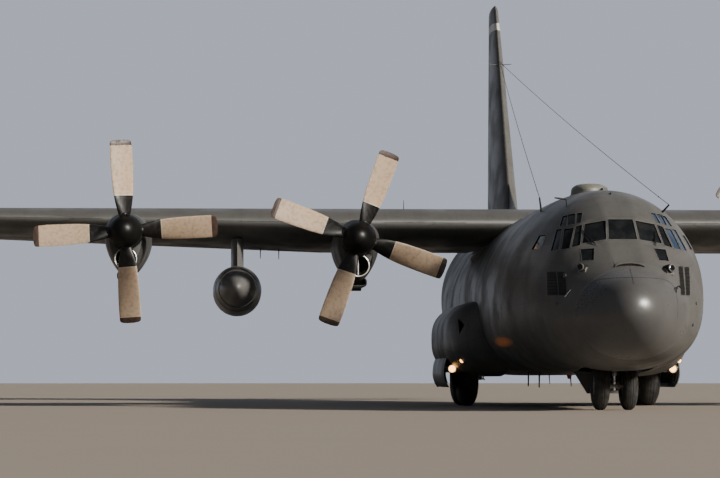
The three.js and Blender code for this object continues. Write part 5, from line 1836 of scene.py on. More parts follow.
@dataclass(frozen=True)
class MainGear:
    """A sponson with its wheel bay and door, and the two wheels in line on their legs."""

    track: float = 2170.0
    strut: float = 1815.0
    stations: tuple[float, float] = (12360.0, 13884.0)
    bay: tuple[float, float, float, float, float] = (11450, 14800, 1735, 2560, 1640)
    root: float = 1500.0
    sections: Array = field(default_factory=lambda: np.array([
        [9150, 2150, 2050, 1200],
        [9350, 2450, 2330, 960],
        [10100, 2720, 2470, 740],
        [11300, 2820, 2500, 690],
        [14900, 2820, 2500, 690],
        [15600, 2620, 2330, 880],
        [16150, 2230, 1900, 1250],
    ], float))

    def form(self, inset: float = 0.0) -> Array:
        """The sponson's rings: from its foot at the root, out by reach cos^0.75, up and down by sin^0.75.

        Args:
            inset: how far it is drawn in.

        Returns:
            Stations x 56 x 3.
        """
        stations = np.concatenate([np.linspace(9150 + inset, 9350, 7), np.linspace(9420, 10100, 10),
                                   np.linspace(10200, 15500, 26), np.linspace(15600, 16150 - inset, 9)])
        reach, top, bottom = smooth_rows(self.sections, stations).T[:, :, None]
        angle = np.linspace(-math.pi / 2, math.pi / 2, 56)
        bulge = np.abs(np.cos(angle)) ** 0.75
        rise = np.sign(np.sin(angle)) * np.abs(np.sin(angle)) ** 0.75
        x = self.root + (reach - inset - self.root) * bulge
        z = (top + bottom) / 2 + ((top - bottom) / 2 - inset) * rise
        return np.stack([x, np.broadcast_to(stations[:, None], x.shape), z], -1)

    def build(self) -> None:
        """Makes both sides."""
        height = MAIN.radius * REST
        for name, side in SIDES:
            self.build_sponson(name, side)
            self.build_legs(name, side, height)
            for i, station in enumerate(self.stations):
                label = ("front", "rear")[i] + "_" + name
                centre = (side * self.track, station, height)
                body = f"wheel_{label}"
                piece(f"tyre_{label}", MAIN.tyre(centre), [Finish.RUBBER], body,
                      [f"main_tyre_{label}"])
                piece(f"wheel_{label}", MAIN.wheel(centre, 62, side), [Finish.WHEEL, Finish.DARK], body,
                      [f"main_wheel_{label}"])
            self.build_door(name, side)

    def build_sponson(self, name: str, side: int) -> None:
        """The sponson, cut open for the wheels and the air intake in front, with a liner round the wheels.

        Args:
            name: left or right.
            side: 1 for port, -1 for starboard.
        """
        front, back, inner, outer, top = self.bay
        room = box((inner, outer), (front, back), (300, top))
        mouth = prism([(2609, 2020), (2597, 1645), (2475, 1860)], 1, 9000, 10150)
        made = carved(f"sponson_skin_{name}", grid(self.form()).on(side),
                      [("DIFFERENCE", union([room.on(side), mouth.on(side)]))])
        dress(made, [Finish.HULL], replaces=[f"sponson_{name}"])
        w = 26
        liner = box((inner - w, outer + w), (front - w, back + w), (790, top + w))
        made = carved(f"wheel_bay_liner_{name}", liner.on(side), [("DIFFERENCE", room.on(side))])
        dress(made, [Finish.TRIM])
        ribs = [box((inner, outer), (l, l + 36), (top - 70, top)) for l in range(11700, 14700, 330)]
        pipes = [tube([(x, front, 1500), (x, 13000, 1496), (x, back, 1500)], 13)
                 for x in (inner + 60, inner + 110)]
        piece(f"wheel_bay_ribs_{name}", union([*ribs, *pipes]).on(side), [Finish.TRIM])

    def build_legs(self, name: str, side: int, height: float) -> None:
        """Both legs with axles, torque links and brakes, and the tie between them.

        Args:
            name: left or right.
            side: 1 for port, -1 for starboard.
            height: the axles' height.
        """
        top = self.bay[4]
        parts = []
        for station in self.stations:
            x = self.strut
            leg = [(86, top - 2), (86, 1330), (96, 1320), (96, 1240), (72, 1225)]
            parts.append(turned([(0.5, top - 2), *leg, (72, 980), (0.5, 980)], (x, station, 0), 2, 32))
            parts.append(turned([(0.5, 985), (58, 985), (58, height - 60), (84, height - 70),
                                 (84, height - 95), (0.5, height - 95)], (x, station, 0), 2, 32, tone=1))
            parts.append(tube([(x, station, height), (x + 200, station, height),
                               (self.track + 150, station, height)],
                              60, 24))
            parts.append(turned([(70, x + 90), (150, x + 92), (154, x + 150), (70, x + 150)],
                                (0, station, height), 0, 36, tone=2))
            for k in (-1, 1):
                link = [(station + 80, 1260), (station + 250, 1010), (station + 90, height - 40),
                        (station + 120, height - 80), (station + 300, 1000), (station + 110, 1300)]
                parts.append(prism(link, 0, x + k * 42 - 9, x + k * 42 + 9))
            parts.append(tube([(x + 95, station - 40, 1500), (x + 110, station - 60, 1150),
                               (x + 100, station - 50, 800)],
                              9, 8, tone=2))
        first, second = self.stations
        parts.append(tube([(self.strut, first, 1250), (self.strut, 13100, 1250), (self.strut, second, 1250)],
                          45, 20))
        piece(f"gear_legs_{name}", union(parts).on(side), [Finish.STEEL, Finish.CHROME, Finish.DARK],
              replaces=[f"main_legs_{name}"])

    def build_door(self, name: str, side: int) -> None:
        """The bay's curved outer door, hung from the sponson's edge, with ribs and links inside.

        Args:
            name: left or right.
            side: 1 for port, -1 for starboard.
        """
        arc = np.array([[1300, 2585], [1180, 2700], [980, 2780],
                        [760, 2800], [560, 2760], [440, 2690]], float)
        heights = np.linspace(440, 1300, 30)
        reach = smooth_rows(arc[::-1], heights)[:, 0]
        stations = np.linspace(self.bay[0] + 20, self.bay[1] - 20, 12)
        outer = np.array([[(r, l, z) for r, z in zip(reach, heights)] for l in stations])
        inner = outer[:, ::-1] - np.array([24, 0, 4])
        parts = [grid(np.concatenate([outer, inner], 1))]
        for l in range(11600, 14750, 430):
            rib = [(r - 22 - d, z) for d, rows in ((0, slice(3, 27)), (42, slice(26, 2, -1)))
                   for r, z in zip(reach[rows], heights[rows])]
            parts.append(prism(rib, 1, l, l + 16))
        for l in (11900, 13120, 14350):
            parts.append(tube([(2500, l, 1180), (2600, l, 1060), (2760, l, 900)], 20, 12, tone=1))
        piece(f"gear_door_{name}", union(parts).on(side), [Finish.HULL, Finish.STEEL],
              replaces=[f"main_gear_door_{name}"])


@dataclass(frozen=True)
class NoseGear:
    """The nose leg, its fork, the two wheels and the door behind them."""

    station: float = 3350.0
    pitch: float = 580.0
    collar: float = 700.0
    bay_back: float = 4240.0
    bay_top: float = 1700.0

    def build(self) -> None:
        """Makes the leg, the steering fork, the wheels and the door."""
        y, height = self.station, NOSE.radius * REST
        leg = turned([(0.5, self.bay_top - 2), (95, self.bay_top - 2), (95, 1150), (112, 1140), (112, 1050),
                      (95, 1040), (95, 760), (108, 750), (108, self.collar), (0.5, self.collar)],
                     (0, y, 0), 2, 40)
        brace = tube([(0, y + 60, 1100), (0, y + 420, 1290), (0, self.bay_back - 30, 1500)], 40, 20)
        stays = [tube([(s * 70, y + 50, 1130), (s * 250, y + 300, 1330), (s * 420, y + 500, 1560)], 24, 14)
                 for s in (-1, 1)]
        lines = [tube([(s * 60, y - 85, 1500), (s * 75, y - 105, 1100), (s * 70, y - 100, 760)], 9, 8, tone=2)
                 for s in (-1, 1)]
        parts = [leg, brace, *stays, *lines]
        piece("nose_strut", union(parts), [Finish.STEEL, Finish.CHROME, Finish.DARK],
              replaces=["nose_leg"])
        piston = turned([(0.5, self.collar - 1), (78, self.collar - 1), (78, 590), (92, 580),
                         (92, height - 92), (0.5, height - 92)], (0, y, 0), 2, 40, tone=1)
        link = [(y + 84, 690), (y + 240, 590), (y + 80, height - 30), (y + 70, height - 70), (y + 290, 590),
                (y + 100, 698)]
        links = [prism(link, 0, s * 40 - 8, s * 40 + 8) for s in (-1, 1)]
        knuckle = turned([(48, -118), (96, -112), (96, 112), (48, 118)], (0, y, height), 0, 36, looped=True)
        piece("nose_piston", union([piston, *links, knuckle]), [Finish.STEEL, Finish.CHROME], "nose_steering",
              ["nose_fork"])
        axle = tube([(-self.pitch / 2, y, height), (0, y, height), (self.pitch / 2, y, height)], 45, 24)
        hubs = [NOSE.wheel((s * self.pitch / 2, y, height), 40, s) for s in (-1, 1)]
        piece("nose_hubs", union([axle, *hubs]), [Finish.WHEEL, Finish.DARK], "nose_wheels",
              ["nose_wheel_hubs"])
        for name, side in SIDES:
            piece(f"nose_tyre_skin_{name}", NOSE.tyre((side * self.pitch / 2, y, height)), [Finish.RUBBER],
                  "nose_wheels", [f"nose_tyre_{name}"])
        self.build_door()

    def build_door(self) -> None:
        """The aft door: a bowed sheet across the bay's back edge, with stiffeners."""
        v, u = np.linspace(0, 1, 12)[:, None], np.linspace(-1, 1, 24)[None, :]
        half, z = 700 - 280 * v, 782 - 452 * v
        bow = 28 * (1 - u * u) * (0.4 + 0.6 * v)
        front = np.stack([half * u, self.bay_back + 62 - bow, z + 0 * u], -1)
        back = front[:, ::-1] + np.array([0, 22, 0])
        parts = [grid(np.concatenate([front, back], 1))]
        parts += [box((x - 10, x + 10), (self.bay_back + 80, self.bay_back + 110), (380, 740)) for x in
                  (-300, -100, 100, 300)]
        piece("nose_door_panel", union(parts), [Finish.HULL], replaces=["nose_gear_door"])


# Fittings


@dataclass(frozen=True)
class NoseFittings:
    """Sensors, probes, vents, wipers and patches on the nose."""

    slot_station: float = 1190.0
    slot_half: float = 300.0

    def patch(self, stations: tuple[float, float], heights: tuple[float, float], out: float, tone: int = 0,
              thick: float = 8.0, rows: int = 10) -> Surface:
        """A plate that follows the fuselage's port side: side(l, z) + out over a grid of l and z.

        Args:
            stations: its first and last station.
            heights: its lowest and highest height.
            out: how far its face stands out.
            tone: the faces' tone.
            thick: how deep it is.
            rows: points each way.

        Returns:
            The closed plate.
        """
        l, z = np.linspace(*stations, rows), np.linspace(*heights, rows)
        outer = np.array([[(HULL.side(a, b) + out, a, b) for b in z] for a in l])
        inner = outer[:, ::-1] - np.array([thick, 0, 0])
        return grid(np.concatenate([outer, inner], 1), tone=tone)

    def build(self, facets: Sequence[Facet]) -> None:
        """Makes all of them."""
        self.build_slot()
        self.build_sensors()
        self.build_panels()
        self.build_probes()
        self.build_wipers(facets[1])

    def roof(self, station: float, x: float) -> float:
        """How high the skin is on the nose's back, which goes flat between the creases behind 1150."""
        share = float(smoothstep(1150, 1400, np.array(station)))
        return HULL.top(station, x) * (1 - share) + min(HULL.top(station, x), HULL.top(station, 300)) * share

    def build_slot(self) -> None:
        """The scoop before the windscreen: a hood that stands arch = 64 (1 - (x / half)^2)^0.3 over the skin
        and sinks aft as (1 - v)^2, a dark brown sheet under it that paints the shade inside the slot, and the
        thin strip along the radome's crest."""
        x = np.linspace(-self.slot_half, self.slot_half, 41)
        arch = 64 * (1 - (x / self.slot_half) ** 2) ** 0.3
        rows = []
        for v in np.linspace(0, 1, 12):
            station = self.slot_station + 230 * v
            level = np.array([self.roof(station, k) for k in x])
            rows.append(np.stack([x, np.full(len(x), station), level + arch * (1 - v) ** 2 + 2], 1))
        top = np.array(rows)
        under = top - np.array([0, 0, 12])
        under[2:, :, 2] -= 40
        hood = grid(np.concatenate([top, under[:, ::-1]], 1))
        sill = top[0][:, 2] - arch
        # The mouth is a dark brown sheet that closes the slot: it paints the shade inside the scoop.
        upper = np.stack([np.stack([x, np.full(len(x), self.slot_station + d), top[0][:, 2] - 9], 1)
                          for d in (14, 24)])
        lower = np.stack([np.stack([x, np.full(len(x), self.slot_station + d), sill - 22], 1)
                          for d in (14, 24)])
        mouth = grid(np.concatenate([upper, lower[:, ::-1]], 1), tone=1)
        s = np.linspace(270, 1060, 16)
        strip = tube([(-20 - 50 * (1060 - k) / 790, k, HULL.top(k, 30) + 2) for k in s], 5, 8, tone=2)
        piece("nose_scoop", union([hood, mouth, strip]), [Finish.HULL, Finish.BROWN_AND_SHADE, Finish.TRIM])

    def build_sensors(self) -> None:
        """The round sensor pods on both shoulders of the nose and the lamp below the starboard one."""
        for name, (x, station, z), turn in (("port", (790, 1440, 2800), 24),
                                            ("starboard", (-866, 1560, 2822), -34)):
            profile = [(0.5, -150), (56, -150), (70, -140), (84, -100), (90, 20), (84, 150), (0.5, 190)]
            pod = turned(profile, (0, 0, 0), 1, 40, tone=2)
            bezel = turned([(58, -158), (74, -154), (80, -140), (62, -136)], (0, 0, 0), 1, 40, looped=True)
            lens = turned([(0.5, -160), (34, -157), (54, -150), (54, -140), (0.5, -140)],
                          (0, 0, 0), 1, 32, tone=1)
            foot = prism([(-78, -90), (78, -90), (130, 150), (-130, 150)], 2, -120, 6)
            made = union([pod, bezel, lens, foot]).turned(2, turn).turned(0, -8).moved((x, station, z - 10))
            piece(f"sensor_pod_{name}", made, [Finish.TRIM, Finish.GLASS, Finish.DARK])
        lamp = union([turned([(0.5, -26), (34, -24), (40, -16), (40, 30), (0.5, 30)], (0, 0, 0), 1, 24),
                      turned([(0.5, -30), (30, -27), (30, -24), (0.5, -24)], (0, 0, 0), 1, 24, tone=1)])
        piece("nose_lamp", lamp.turned(2, -38).moved((-1213, 1724, 2671)), [Finish.TRIM, Finish.LENS])

    def front_patch(self, corners: Sequence[Sequence[float]], out: float, tone: int = 0, rows: int = 9,
                    thick: float = 14.0) -> Surface:
        """A plate on the skin that is a four-sided outline as seen from in front.

        Args:
            corners: (sideways, height) at lower inner, lower outer, upper outer and upper inner.
            out: how far its face stands before the skin.
            tone: the faces' tone.
            rows: points each way.
            thick: how deep it is.

        Returns:
            The plate: bilinear between the corners, each point at the skin's station less out.
        """
        a, b, c, d = (np.asarray(k, float) for k in corners)
        u, v = np.meshgrid(np.linspace(0, 1, rows), np.linspace(0, 1, rows))
        flat = ((1 - v) * (1 - u))[..., None] * a + ((1 - v) * u)[..., None] * b
        flat = flat + (v * u)[..., None] * c + (v * (1 - u))[..., None] * d
        depth = np.array([[HULL.station_at(x, z) for x, z in row] for row in flat])
        outer = np.stack([flat[..., 0], depth - out, flat[..., 1]], -1)
        inner = outer[:, ::-1] + np.array([0, thick + out, 0])
        return grid(np.concatenate([outer, inner], 1), tone=tone)

    def build_panels(self) -> None:
        """The pairs of dark upright panels behind the radome, each with a grey rim and a louvred face, the
        small covers further back, the amber patch of painted warm light and the radome's seam."""
        plates = []
        for side, columns in ((1, (((990, 2272), (1092, 2274), (1172, 2866), (1072, 2862)),
                                   ((1126, 2272), (1222, 2276), (1338, 2864), (1220, 2858)))),
                              (-1, (((1362, 2282), (1528, 2290), (1500, 2772), (1352, 2762)),
                                    ((1222, 2272), (1344, 2280), (1330, 2760), (1208, 2750))))):
            for column in columns:
                grown = offset_outline(column, 14)
                plates.append(self.front_patch(grown, 6).on(side))
                plates.append(self.front_patch(column, 16, 1).on(side))
                a, b, c, d = (np.asarray(k, float) for k in column)
                for t in np.linspace(0.08, 0.88, 7):
                    low = [a + (d - a) * t, b + (c - b) * t, b + (c - b) * (t + 0.035),
                           a + (d - a) * (t + 0.035)]
                    plates.append(self.front_patch(low, 24, 2, 4, 20).on(side))
        piece("nose_side_panels", union(plates), [Finish.HULL, Finish.CUFF, Finish.DARK])
        places = (
            ((5130, 5250), (2340, 2460), -1),
            ((3000, 3110), (1570, 1640), -1),
            ((3000, 3110), (1570, 1640), 1),
            ((5600, 5900), (1900, 2050), -1),
            ((7200, 7560), (2900, 3060), -1),
            ((8300, 8420), (2340, 2460), 1),
        )
        covers = [self.patch(stations, heights, 4.0).on(side) for stations, heights, side in places]
        # A painted pool of warm light on the starboard side, low before the sponson.
        painted_light = self.patch((4700, 7900), (1290, 1540), 3.0, 1, 6.0, 16).on(-1)
        piece("hull_covers", union([*covers, painted_light]), [Finish.TRIM, Finish.AMBER_PAINTED_LIGHT])
        seam = [(0, 2588), (300, 2586), (600, 2570), (780, 2500), (840, 2380), (850, 2150), (835, 1800)]
        half = smooth_rows(np.array([(k, *row) for k, row in enumerate(seam)], float), np.linspace(0, 6, 50))
        line = [(x, HULL.station_at(x, z) - 1 if x > 60 else self.crest(z), z) for x, z in half]
        thin = np.linspace(4.0, 1.5, 50)
        both = [tube(np.array(line), thin, 8), tube(np.array(line)[:26], thin[:26], 8).mirrored()]
        tick = tube([(-70, 22, 1905), (-55, 14, 1912), (-38, 12, 1920)], 12, 8)
        piece("radome_seam", union([*both, tick]), [Finish.DARK])

    def crest(self, height: float) -> float:
        """The station where the nose's crest has a height."""
        stations = np.linspace(5, 3000, 500)
        return float(np.interp(height, HULL.rows(stations)[:, 1], stations)) - 1

    def build_probes(self) -> None:
        """The port probe with its long down-turned head, a small one beside it, their starboard rod, and the
        blades and drain masts below."""
        parts = []
        foot = np.array([975, 1120, 2425])
        parts.append(tube([foot, foot + (-30, -60, 18), (900, 960, 2428), (872, 925, 2412), (862, 905, 2360),
                           (858, 900, 2260), (856, 898, 2160)], np.array([17, 16, 15, 14, 13, 11, 8]), 14))
        parts.append(tube([(1080, 1240, 2322), (1035, 1175, 2318), (1010, 1140, 2300), (962, 1090, 2225),
                           (948, 1075, 2208)], np.array([15, 14, 13, 11, 8]), 12))
        parts.append(tube([(-1257, 1394, 2239), (-1205, 1360, 2306), (-1147, 1329, 2375)], 11, 10, tone=1))
        for x, z, station in ((1290, 2120, 1650), (1240, 1700, 1500), (-1290, 2120, 1650)):
            at = math.copysign(HULL.side(station, z), x)
            parts.append(turned([(0.5, -8), (34, -6), (34, 6), (0.5, 8)], (at, station, z), 0, 24))
        for x, station in ((-1200, 8000), (-950, 8060), (700, 6900)):
            keel = 740 if abs(x) < 1000 else 765
            outline = [(station - 60, keel + 40), (station + 140, keel + 40), (station + 120, keel - 290),
                       (station + 40, keel - 300)]
            parts.append(prism(outline, 0, x - 9, x + 9))
        piece("probes", union(parts), [Finish.DARK, Finish.CHROME])

    def build_wipers(self, flat: Facet) -> None:
        """The wipers on the two front panes, laid on the flats they sweep.

        Args:
            flat: the port flat of the windscreen.
        """
        turn = rotation(2, flat.turn) @ rotation(0, flat.slope - 90)
        normal = turn @ np.array([0, 1, 0])

        def on_flat(x: float, z: float, lift: float) -> tuple[float, float, float]:
            """The point over the flat by a lift, at x sideways and z high."""
            off = (-lift - normal[0] * (x - flat.x) - normal[2] * (z - flat.height)) / normal[1]
            return x, flat.station + off, z

        def wiper(foot: tuple[float, float], head: tuple[float, float]) -> Surface:
            """One wiper.

            Args:
                foot: (sideways, height) of its pivot.
                head: (sideways, height) of its blade's end.

            Returns:
                The bent arm, the blade and the pivot.
            """
            mid = tuple(0.45 * a + 0.55 * b for a, b in zip(foot, head))
            arm = tube([on_flat(*foot, 12), on_flat(*[0.5 * (a + b) for a, b in zip(foot, mid)], 40),
                        on_flat(*mid, 34)], 9, 8)
            low = tuple(0.84 * a + 0.16 * b for a, b in zip(foot, head))
            blade = tube([on_flat(low[0] + 14, low[1], 18), on_flat(mid[0] + 6, mid[1], 16),
                          on_flat(*head, 18)], 8, 8)
            pivot = turned([(0.5, -14), (26, -12), (26, 10), (0.5, 12)], on_flat(*foot, 10), 1, 20)
            return union([arm, blade, pivot])

        starboard = wiper((545, 3290), (770, 3615)).mirrored()
        piece("wipers", wiper((640, 3290), (705, 3600)).joined(starboard), [Finish.DARK])


@dataclass(frozen=True)
class Aerials:
    """The dome, blade aerials, masts, the two wires to the fin, and the lamps."""

    dome_station: float = 6750.0
    wire: float = 7.0
    sweep: float = 0.35
    taxi_lamp: tuple[float, float, float] = (2610, 11330, 870)
    flush_lamp: tuple[float, float, float] = (2505, 9925, 1056)

    def build(self) -> None:
        """Makes them."""
        t = np.linspace(0, math.pi / 2, 16)
        crown = np.stack([170 + 234 * np.cos(t), 100 + 150 * np.sin(t)], 1)
        profile = [(0.5, -4), (424, -4), (424, 14), (410, 18), (408, 60), *crown, (80, 253), (0.5, 254)]
        dome = turned(profile, (0, self.dome_station, 4620), 2, 72)
        ring = torus((0, self.dome_station, 4622), 2, 420, 12, points=72, tone=1)
        foot = union([box((-60, 60), (6280, 6360), (4600, 4690), tone=1),
                      box((230, 330), (6330, 6420), (4690, 4770), tone=1)])
        piece("dome_shell", union([dome, ring, foot]), [Finish.CREAM, Finish.TRIM],
              replaces=["antenna_dome"])
        self.build_blades()
        self.build_wires()
        self.build_lamps()

    def blade(self, x: float, station: float, foot: float, high: float, chord: float = 260,
              thick: float = 22) -> Surface:
        """A swept blade: lens sections of w (1 - u^2) that shorten from foot to tip.

        Args:
            x: its place sideways.
            station: its front at the foot.
            foot: the foot's height.
            high: how far it rises, or sinks where negative.
            chord: its length at the foot.
            thick: its thickness at the foot.

        Returns:
            The closed blade.
        """
        u = np.linspace(-1, 1, 15)
        lens = thick / 2 * (1 - u * u)
        rows = []
        for v in np.linspace(0, 1, 6):
            size = chord * (1 - 0.45 * v)
            l = station + high * self.sweep * v + (u + 1) / 2 * size
            right = np.stack([x + lens * (1 - 0.5 * v) + 0.6, l, np.full(15, foot + high * v)], 1)
            left = np.stack([x - lens[::-1] * (1 - 0.5 * v) - 0.6, l[::-1], np.full(15, foot + high * v)], 1)
            rows.append(np.concatenate([right, left]))
        return grid(np.array(rows))

    def build_blades(self) -> None:
        """Blade aerials on the back, the wing's fairing and the belly, and the whiskers on the fin."""
        parts = [self.blade(0, 9300, 4600, 330), self.blade(0, 15200, 4700, 300),
                 self.blade(0, 18050, 4600, 280), self.blade(0, 3560, 4400, 60, 420, 60),
                 self.blade(0, 9900, 740, -280), self.blade(300, 16200, 740, -240, 220)]
        parts.append(tube([(-1184, 3480, 4338), (-1080, 3500, 4326), (-968, 3500, 4312)],
                          np.array([15, 19, 15]), 12, tone=1))
        parts.append(tube([(-968, 3500, 4312), (-940, 3540, 4300), (-915, 3620, 4120)], 9, 12, tone=1))
        for side in (-1, 1):
            front = TAIL.fin_at(9750).front
            parts.append(tube([(side * 20, front + 120, 9750), (side * 200, front + 60, 9752),
                               (side * 330, front - 30, 9754)],
                              np.array([14, 11, 8]), 10))
        wing_top = WING.surface_point(3700, 0.18)
        parts.append(self.blade(-3700, float(wing_top[1]), float(wing_top[2]) - 10, 230, 180))
        for x in (-7080, -6630):
            low = WING.surface_point(abs(x), 0.62, False)
            parts.append(tube([(x, low[1], low[2] + 20), (x, low[1] + 30, low[2] - 120),
                               (x, low[1] + 60, low[2] - 250)],
                              np.array([16, 12, 8]), 10))
        piece("aerials", union(parts), [Finish.TRIM, Finish.DARK])

    def build_wires(self) -> None:
        """The two taut wires from the fin's front edge to their masts, each with a sag of 90 x 4 t (1 - t)
        and two insulators."""
        start = np.array([0, TAIL.fin_at(9820).front + 12, 9820])
        masts = ((np.array([-1274, 4994, 4160]), np.array([-40, -20, 290])),
                 (np.array([1020, 3420, 4040]), np.array([130, -100, 150])))
        parts = []
        for foot, lean in masts:
            head = foot + lean
            parts.append(tube([foot - lean * 0.3, 0.5 * (foot + head), head], np.array([24, 20, 17]), 12,
                              tone=1))
            t = np.linspace(0, 1, 40)[:, None]
            line = start + (head - start) * t - np.array([0, 0, 90]) * (4 * t * (1 - t))
            parts.append(tube(line, self.wire, 6, tone=1))
            for share in (0.03, 0.955):
                spot = start + (head - start) * share - np.array([0, 0, 90]) * (4 * share * (1 - share))
                way = (head - start) / np.linalg.norm(head - start)
                bead = [spot - way * 60, spot - way * 20, spot + way * 20, spot + way * 60]
                parts.append(tube(bead, np.array([6, 15, 15, 6]), 10, tone=2))
        piece("aerial_wires", union(parts), [Finish.TRIM, Finish.DARK, Finish.CREAM])

    def build_lamps(self) -> None:
        """Taxi lamps beside the main wheels, both lit, and the wing-tip and beacon lenses."""
        for name, side in SIDES:
            shell = [(0.5, 150), (60, 140), (96, 60), (104, 0), (96, -4), (92, 0), (84, 40), (0.5, 42)]
            parts = [turned(shell, self.taxi_lamp, 1, 40)]
            parts.append(turned([(0.5, 6), (78, 10), (76, 16), (0.5, 16)], self.taxi_lamp, 1, 40, tone=1))
            parts.append(tube([(2610, 11450, 870), (2680, 11480, 900), (2780, 11500, 905)], 20, 12))
            parts.append(tube([(2610, 11440, 900), (2500, 11455, 1100), (2380, 11460, 1300)], 16, 12))
            bezel = [(0.5, 30), (70, 30), (74, 0), (66, -8), (60, -2), (60, 6), (0.5, 6)]
            parts.append(turned(bezel, self.flush_lamp, 1, 32))
            parts.append(turned([(0.5, -10), (50, -2), (50, 4), (0.5, 4)], self.flush_lamp, 1, 32, tone=1))
            piece(f"taxi_lamps_{name}", union(parts).on(side), [Finish.STEEL, Finish.GLOW])
            tip = WING.half_span - 40
            at = WING.surface_point(tip - 140, 0.06)
            lens = [(0.5, -90), (30, -80), (46, -40), (50, 30), (0.5, 60)]
            lamp = turned(lens, (tip - 60, float(at[1]) + 60, float(at[2]) - 60), 1, 24)
            piece(f"wing_tip_lamp_{name}", lamp.on(side),
                  [Finish.RED_LENS if side > 0 else Finish.GREEN_LENS])
        cap = [(70, 0), (70, 20), (52, 24), (50, 70), (30, 96), (0.5, 104)]
        beacon = turned(cap, (0, 27400, 4975), 2, 32)
        low = turned([(r, -h) for r, h in cap[::-1]], (0, 10200, 730), 2, 32)
        piece("beacons", union([beacon, low]), [Finish.RED_LENS])


TAIL = Tail()


@dataclass(frozen=True)
class WingFittings:
    """Leading edge strips, covers below, fuel caps above and static wicks."""

    def build(self) -> None:
        """Makes them on both sides."""
        parts = []
        for x in np.linspace(2600, 19600, 12):
            low = WING.surface_point(x, 0.30, False)
            parts.append(box((x - 60, x + 60), (low[1] - 45, low[1] + 45), (low[2] - 5, low[2] + 6)))
        for x in (3600, 6800, 8700, 12400, 15200):
            up = WING.surface_point(x, 0.34)
            parts.append(turned([(0.5, -8), (74, -8), (70, 6), (0.5, 8)], up, 2, 32))
        wicks = []
        for x in (12300, 13600, 14900, 16200, 17500, 18800):
            back = WING.surface_point(x, 1.0)
            wicks.append(tube([(x, back[1] - 40, back[2]), (x, back[1] + 40, back[2] - 6),
                               (x, back[1] + 130, back[2] - 18)],
                              np.array([5, 4, 3]), 6, tone=1))
        edges = []
        for start, end in ((2300, 4250), (5600, 9500), (10800, 19500)):
            xs = np.linspace(start, end, 12)
            line = [WING.surface_point(x, 0.0) + np.array([0, -1, 0]) for x in xs]
            edges.append(tube(line, 7, 8, tone=2))
        for name, side in SIDES:
            piece(f"wing_fittings_{name}", union([*parts, *edges]).on(side),
                  [Finish.WING, Finish.DARK, Finish.TRIM])
            piece(f"wicks_{name}", union(wicks).on(side), [Finish.DARK, Finish.DARK], f"{name}_aileron")


# Studio


@dataclass(frozen=True)
class Lamp:
    """A far light: its bearing from straight ahead of the nose towards port, its height over the horizon,
    its strength, colour and how wide it looks, and whether matte and glossy paint show it. Angles are in
    degrees."""

    name: str
    bearing: float
    height: float
    power: float
    colour: Colour
    width: float
    shade: bool = True
    gloss: bool = True

    def build(self) -> None:
        """Puts the light into the scene, turned so that its rays run from its place to the aircraft."""
        lamp = bpy.data.lights.new(self.name, "SUN")
        lamp.energy, lamp.color, lamp.angle = self.power, self.colour, math.radians(self.width)
        holder = bpy.data.objects.new(self.name, lamp)
        holder.rotation_euler = (math.radians(90 - self.height), 0.0, math.radians(self.bearing))
        holder.visible_diffuse, holder.visible_glossy = self.shade, self.gloss
        bpy.context.scene.collection.objects.link(holder)


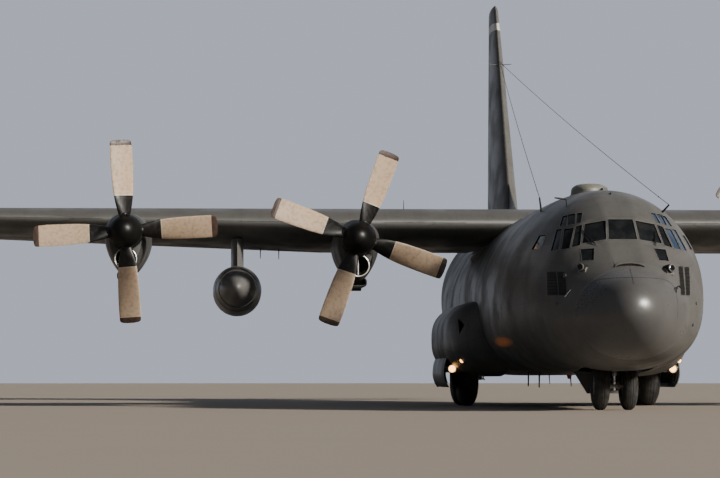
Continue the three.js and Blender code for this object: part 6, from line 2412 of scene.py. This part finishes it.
@dataclass(frozen=True)
class Studio:
    """The floor, the soft light and the camera. Places are in model metres."""

    eye: tuple[float, float, float] = (-3.923, -31.678, 0.315)
    turn: float = 2.94
    rise: float = 3.137
    lens: float = 127.7
    sensor: float = 36.0
    pale: Colour = (0.46, 0.50, 0.58)
    dim: Colour = (0.060, 0.065, 0.080)
    lamps: tuple[Lamp, ...] = (
        Lamp("key", 62, 25, 6.4, (1.0, 0.89, 0.76), 5, gloss=False),
        Lamp("fill", -70, 30, 0.12, (0.78, 0.87, 1.0), 60),
        Lamp("gloss", 25, 24, 11.0, (1.0, 0.96, 0.88), 16, shade=False),
    )

    def build(self) -> None:
        """Sets up the floor, lights and camera."""
        self.build_floor()
        self.build_light()
        self.build_camera()

    def build_floor(self) -> None:
        """A wide pale floor: rings of points on the ground, with a radius that grows as the square of t."""
        radius = 160 * (np.linspace(0.02, 1, 24) ** 2)
        angle = around(96)
        rows = np.stack([radius[:, None] * np.cos(angle), radius[:, None] * np.sin(angle),
                         np.zeros((24, 96))], -1)
        flat = grid(rows / MM + np.array([0, ORIGIN_STATION, -2.0]), capped=False)
        flat.faces.append(tuple(range(96)))
        flat.tones.append(0)
        floor = object_of("floor", flat)
        paint = Paint("floor grey")
        speck = paint.noise(0.8, 4)
        paint.set(base_color=paint.mix(speck.rise(0.3, 0.7) * 0.3, (0.31, 0.28, 0.245), (0.28, 0.255, 0.225)))
        paint.set(roughness=0.9, specular_IOR_level=0.1)
        floor.data.materials.append(paint.material)

    def build_light(self) -> None:
        """A sky that is pale behind the aircraft and dim elsewhere, a warm key light from the right, a weak
        cool fill from the left, and a soft light ahead that only glossy paint shows."""
        world = bpy.data.worlds.new("studio")
        world.use_nodes = True
        nodes, links = world.node_tree.nodes, world.node_tree.links
        way = nodes.new("ShaderNodeTexCoord")
        parts = nodes.new("ShaderNodeSeparateXYZ")
        ramp = nodes.new("ShaderNodeMapRange")
        ramp.interpolation_type = "SMOOTHSTEP"
        ramp.inputs["From Min"].default_value, ramp.inputs["From Max"].default_value = 0.5, 0.94
        blend = nodes.new("ShaderNodeMix")
        blend.data_type = "RGBA"
        blend.inputs[6].default_value = (*self.dim, 1.0)
        blend.inputs[7].default_value = (*self.pale, 1.0)
        links.new(way.outputs["Generated"], parts.inputs[0])
        links.new(parts.outputs["Y"], ramp.inputs["Value"])
        links.new(ramp.outputs["Result"], blend.inputs[0])
        links.new(blend.outputs[2], nodes["Background"].inputs["Color"])
        bpy.context.scene.world = world
        for lamp in self.lamps:
            lamp.build()

    def build_camera(self) -> None:
        """The camera: low before the nose, turned to port and tilted up, with a long lens."""
        lens = bpy.data.cameras.new("camera")
        lens.lens, lens.sensor_width, lens.sensor_fit = self.lens, self.sensor, "HORIZONTAL"
        lens.clip_end = 500.0
        camera = bpy.data.objects.new("camera", lens)
        camera.location = self.eye
        camera.rotation_euler = (math.radians(90 + self.rise), 0.0, -math.radians(self.turn))
        bpy.context.scene.collection.objects.link(camera)
        bpy.context.scene.camera = camera


def main() -> None:
    """Builds everything in order and reports each piece."""
    logging.basicConfig(level=logging.INFO, format="%(message)s")
    Studio().build()
    cockpit = Cockpit()
    builders = [cockpit, Hold(), Wing(), TAIL, *POWER_PLANTS, Tank(), MainGear(), NoseGear(), Aerials(),
                WingFittings()]
    for builder in builders:
        LOG.info("%s", type(builder).__name__)
        builder.build()
    NoseFittings().build(cockpit.facets)


if __name__ == "__main__":
    main()
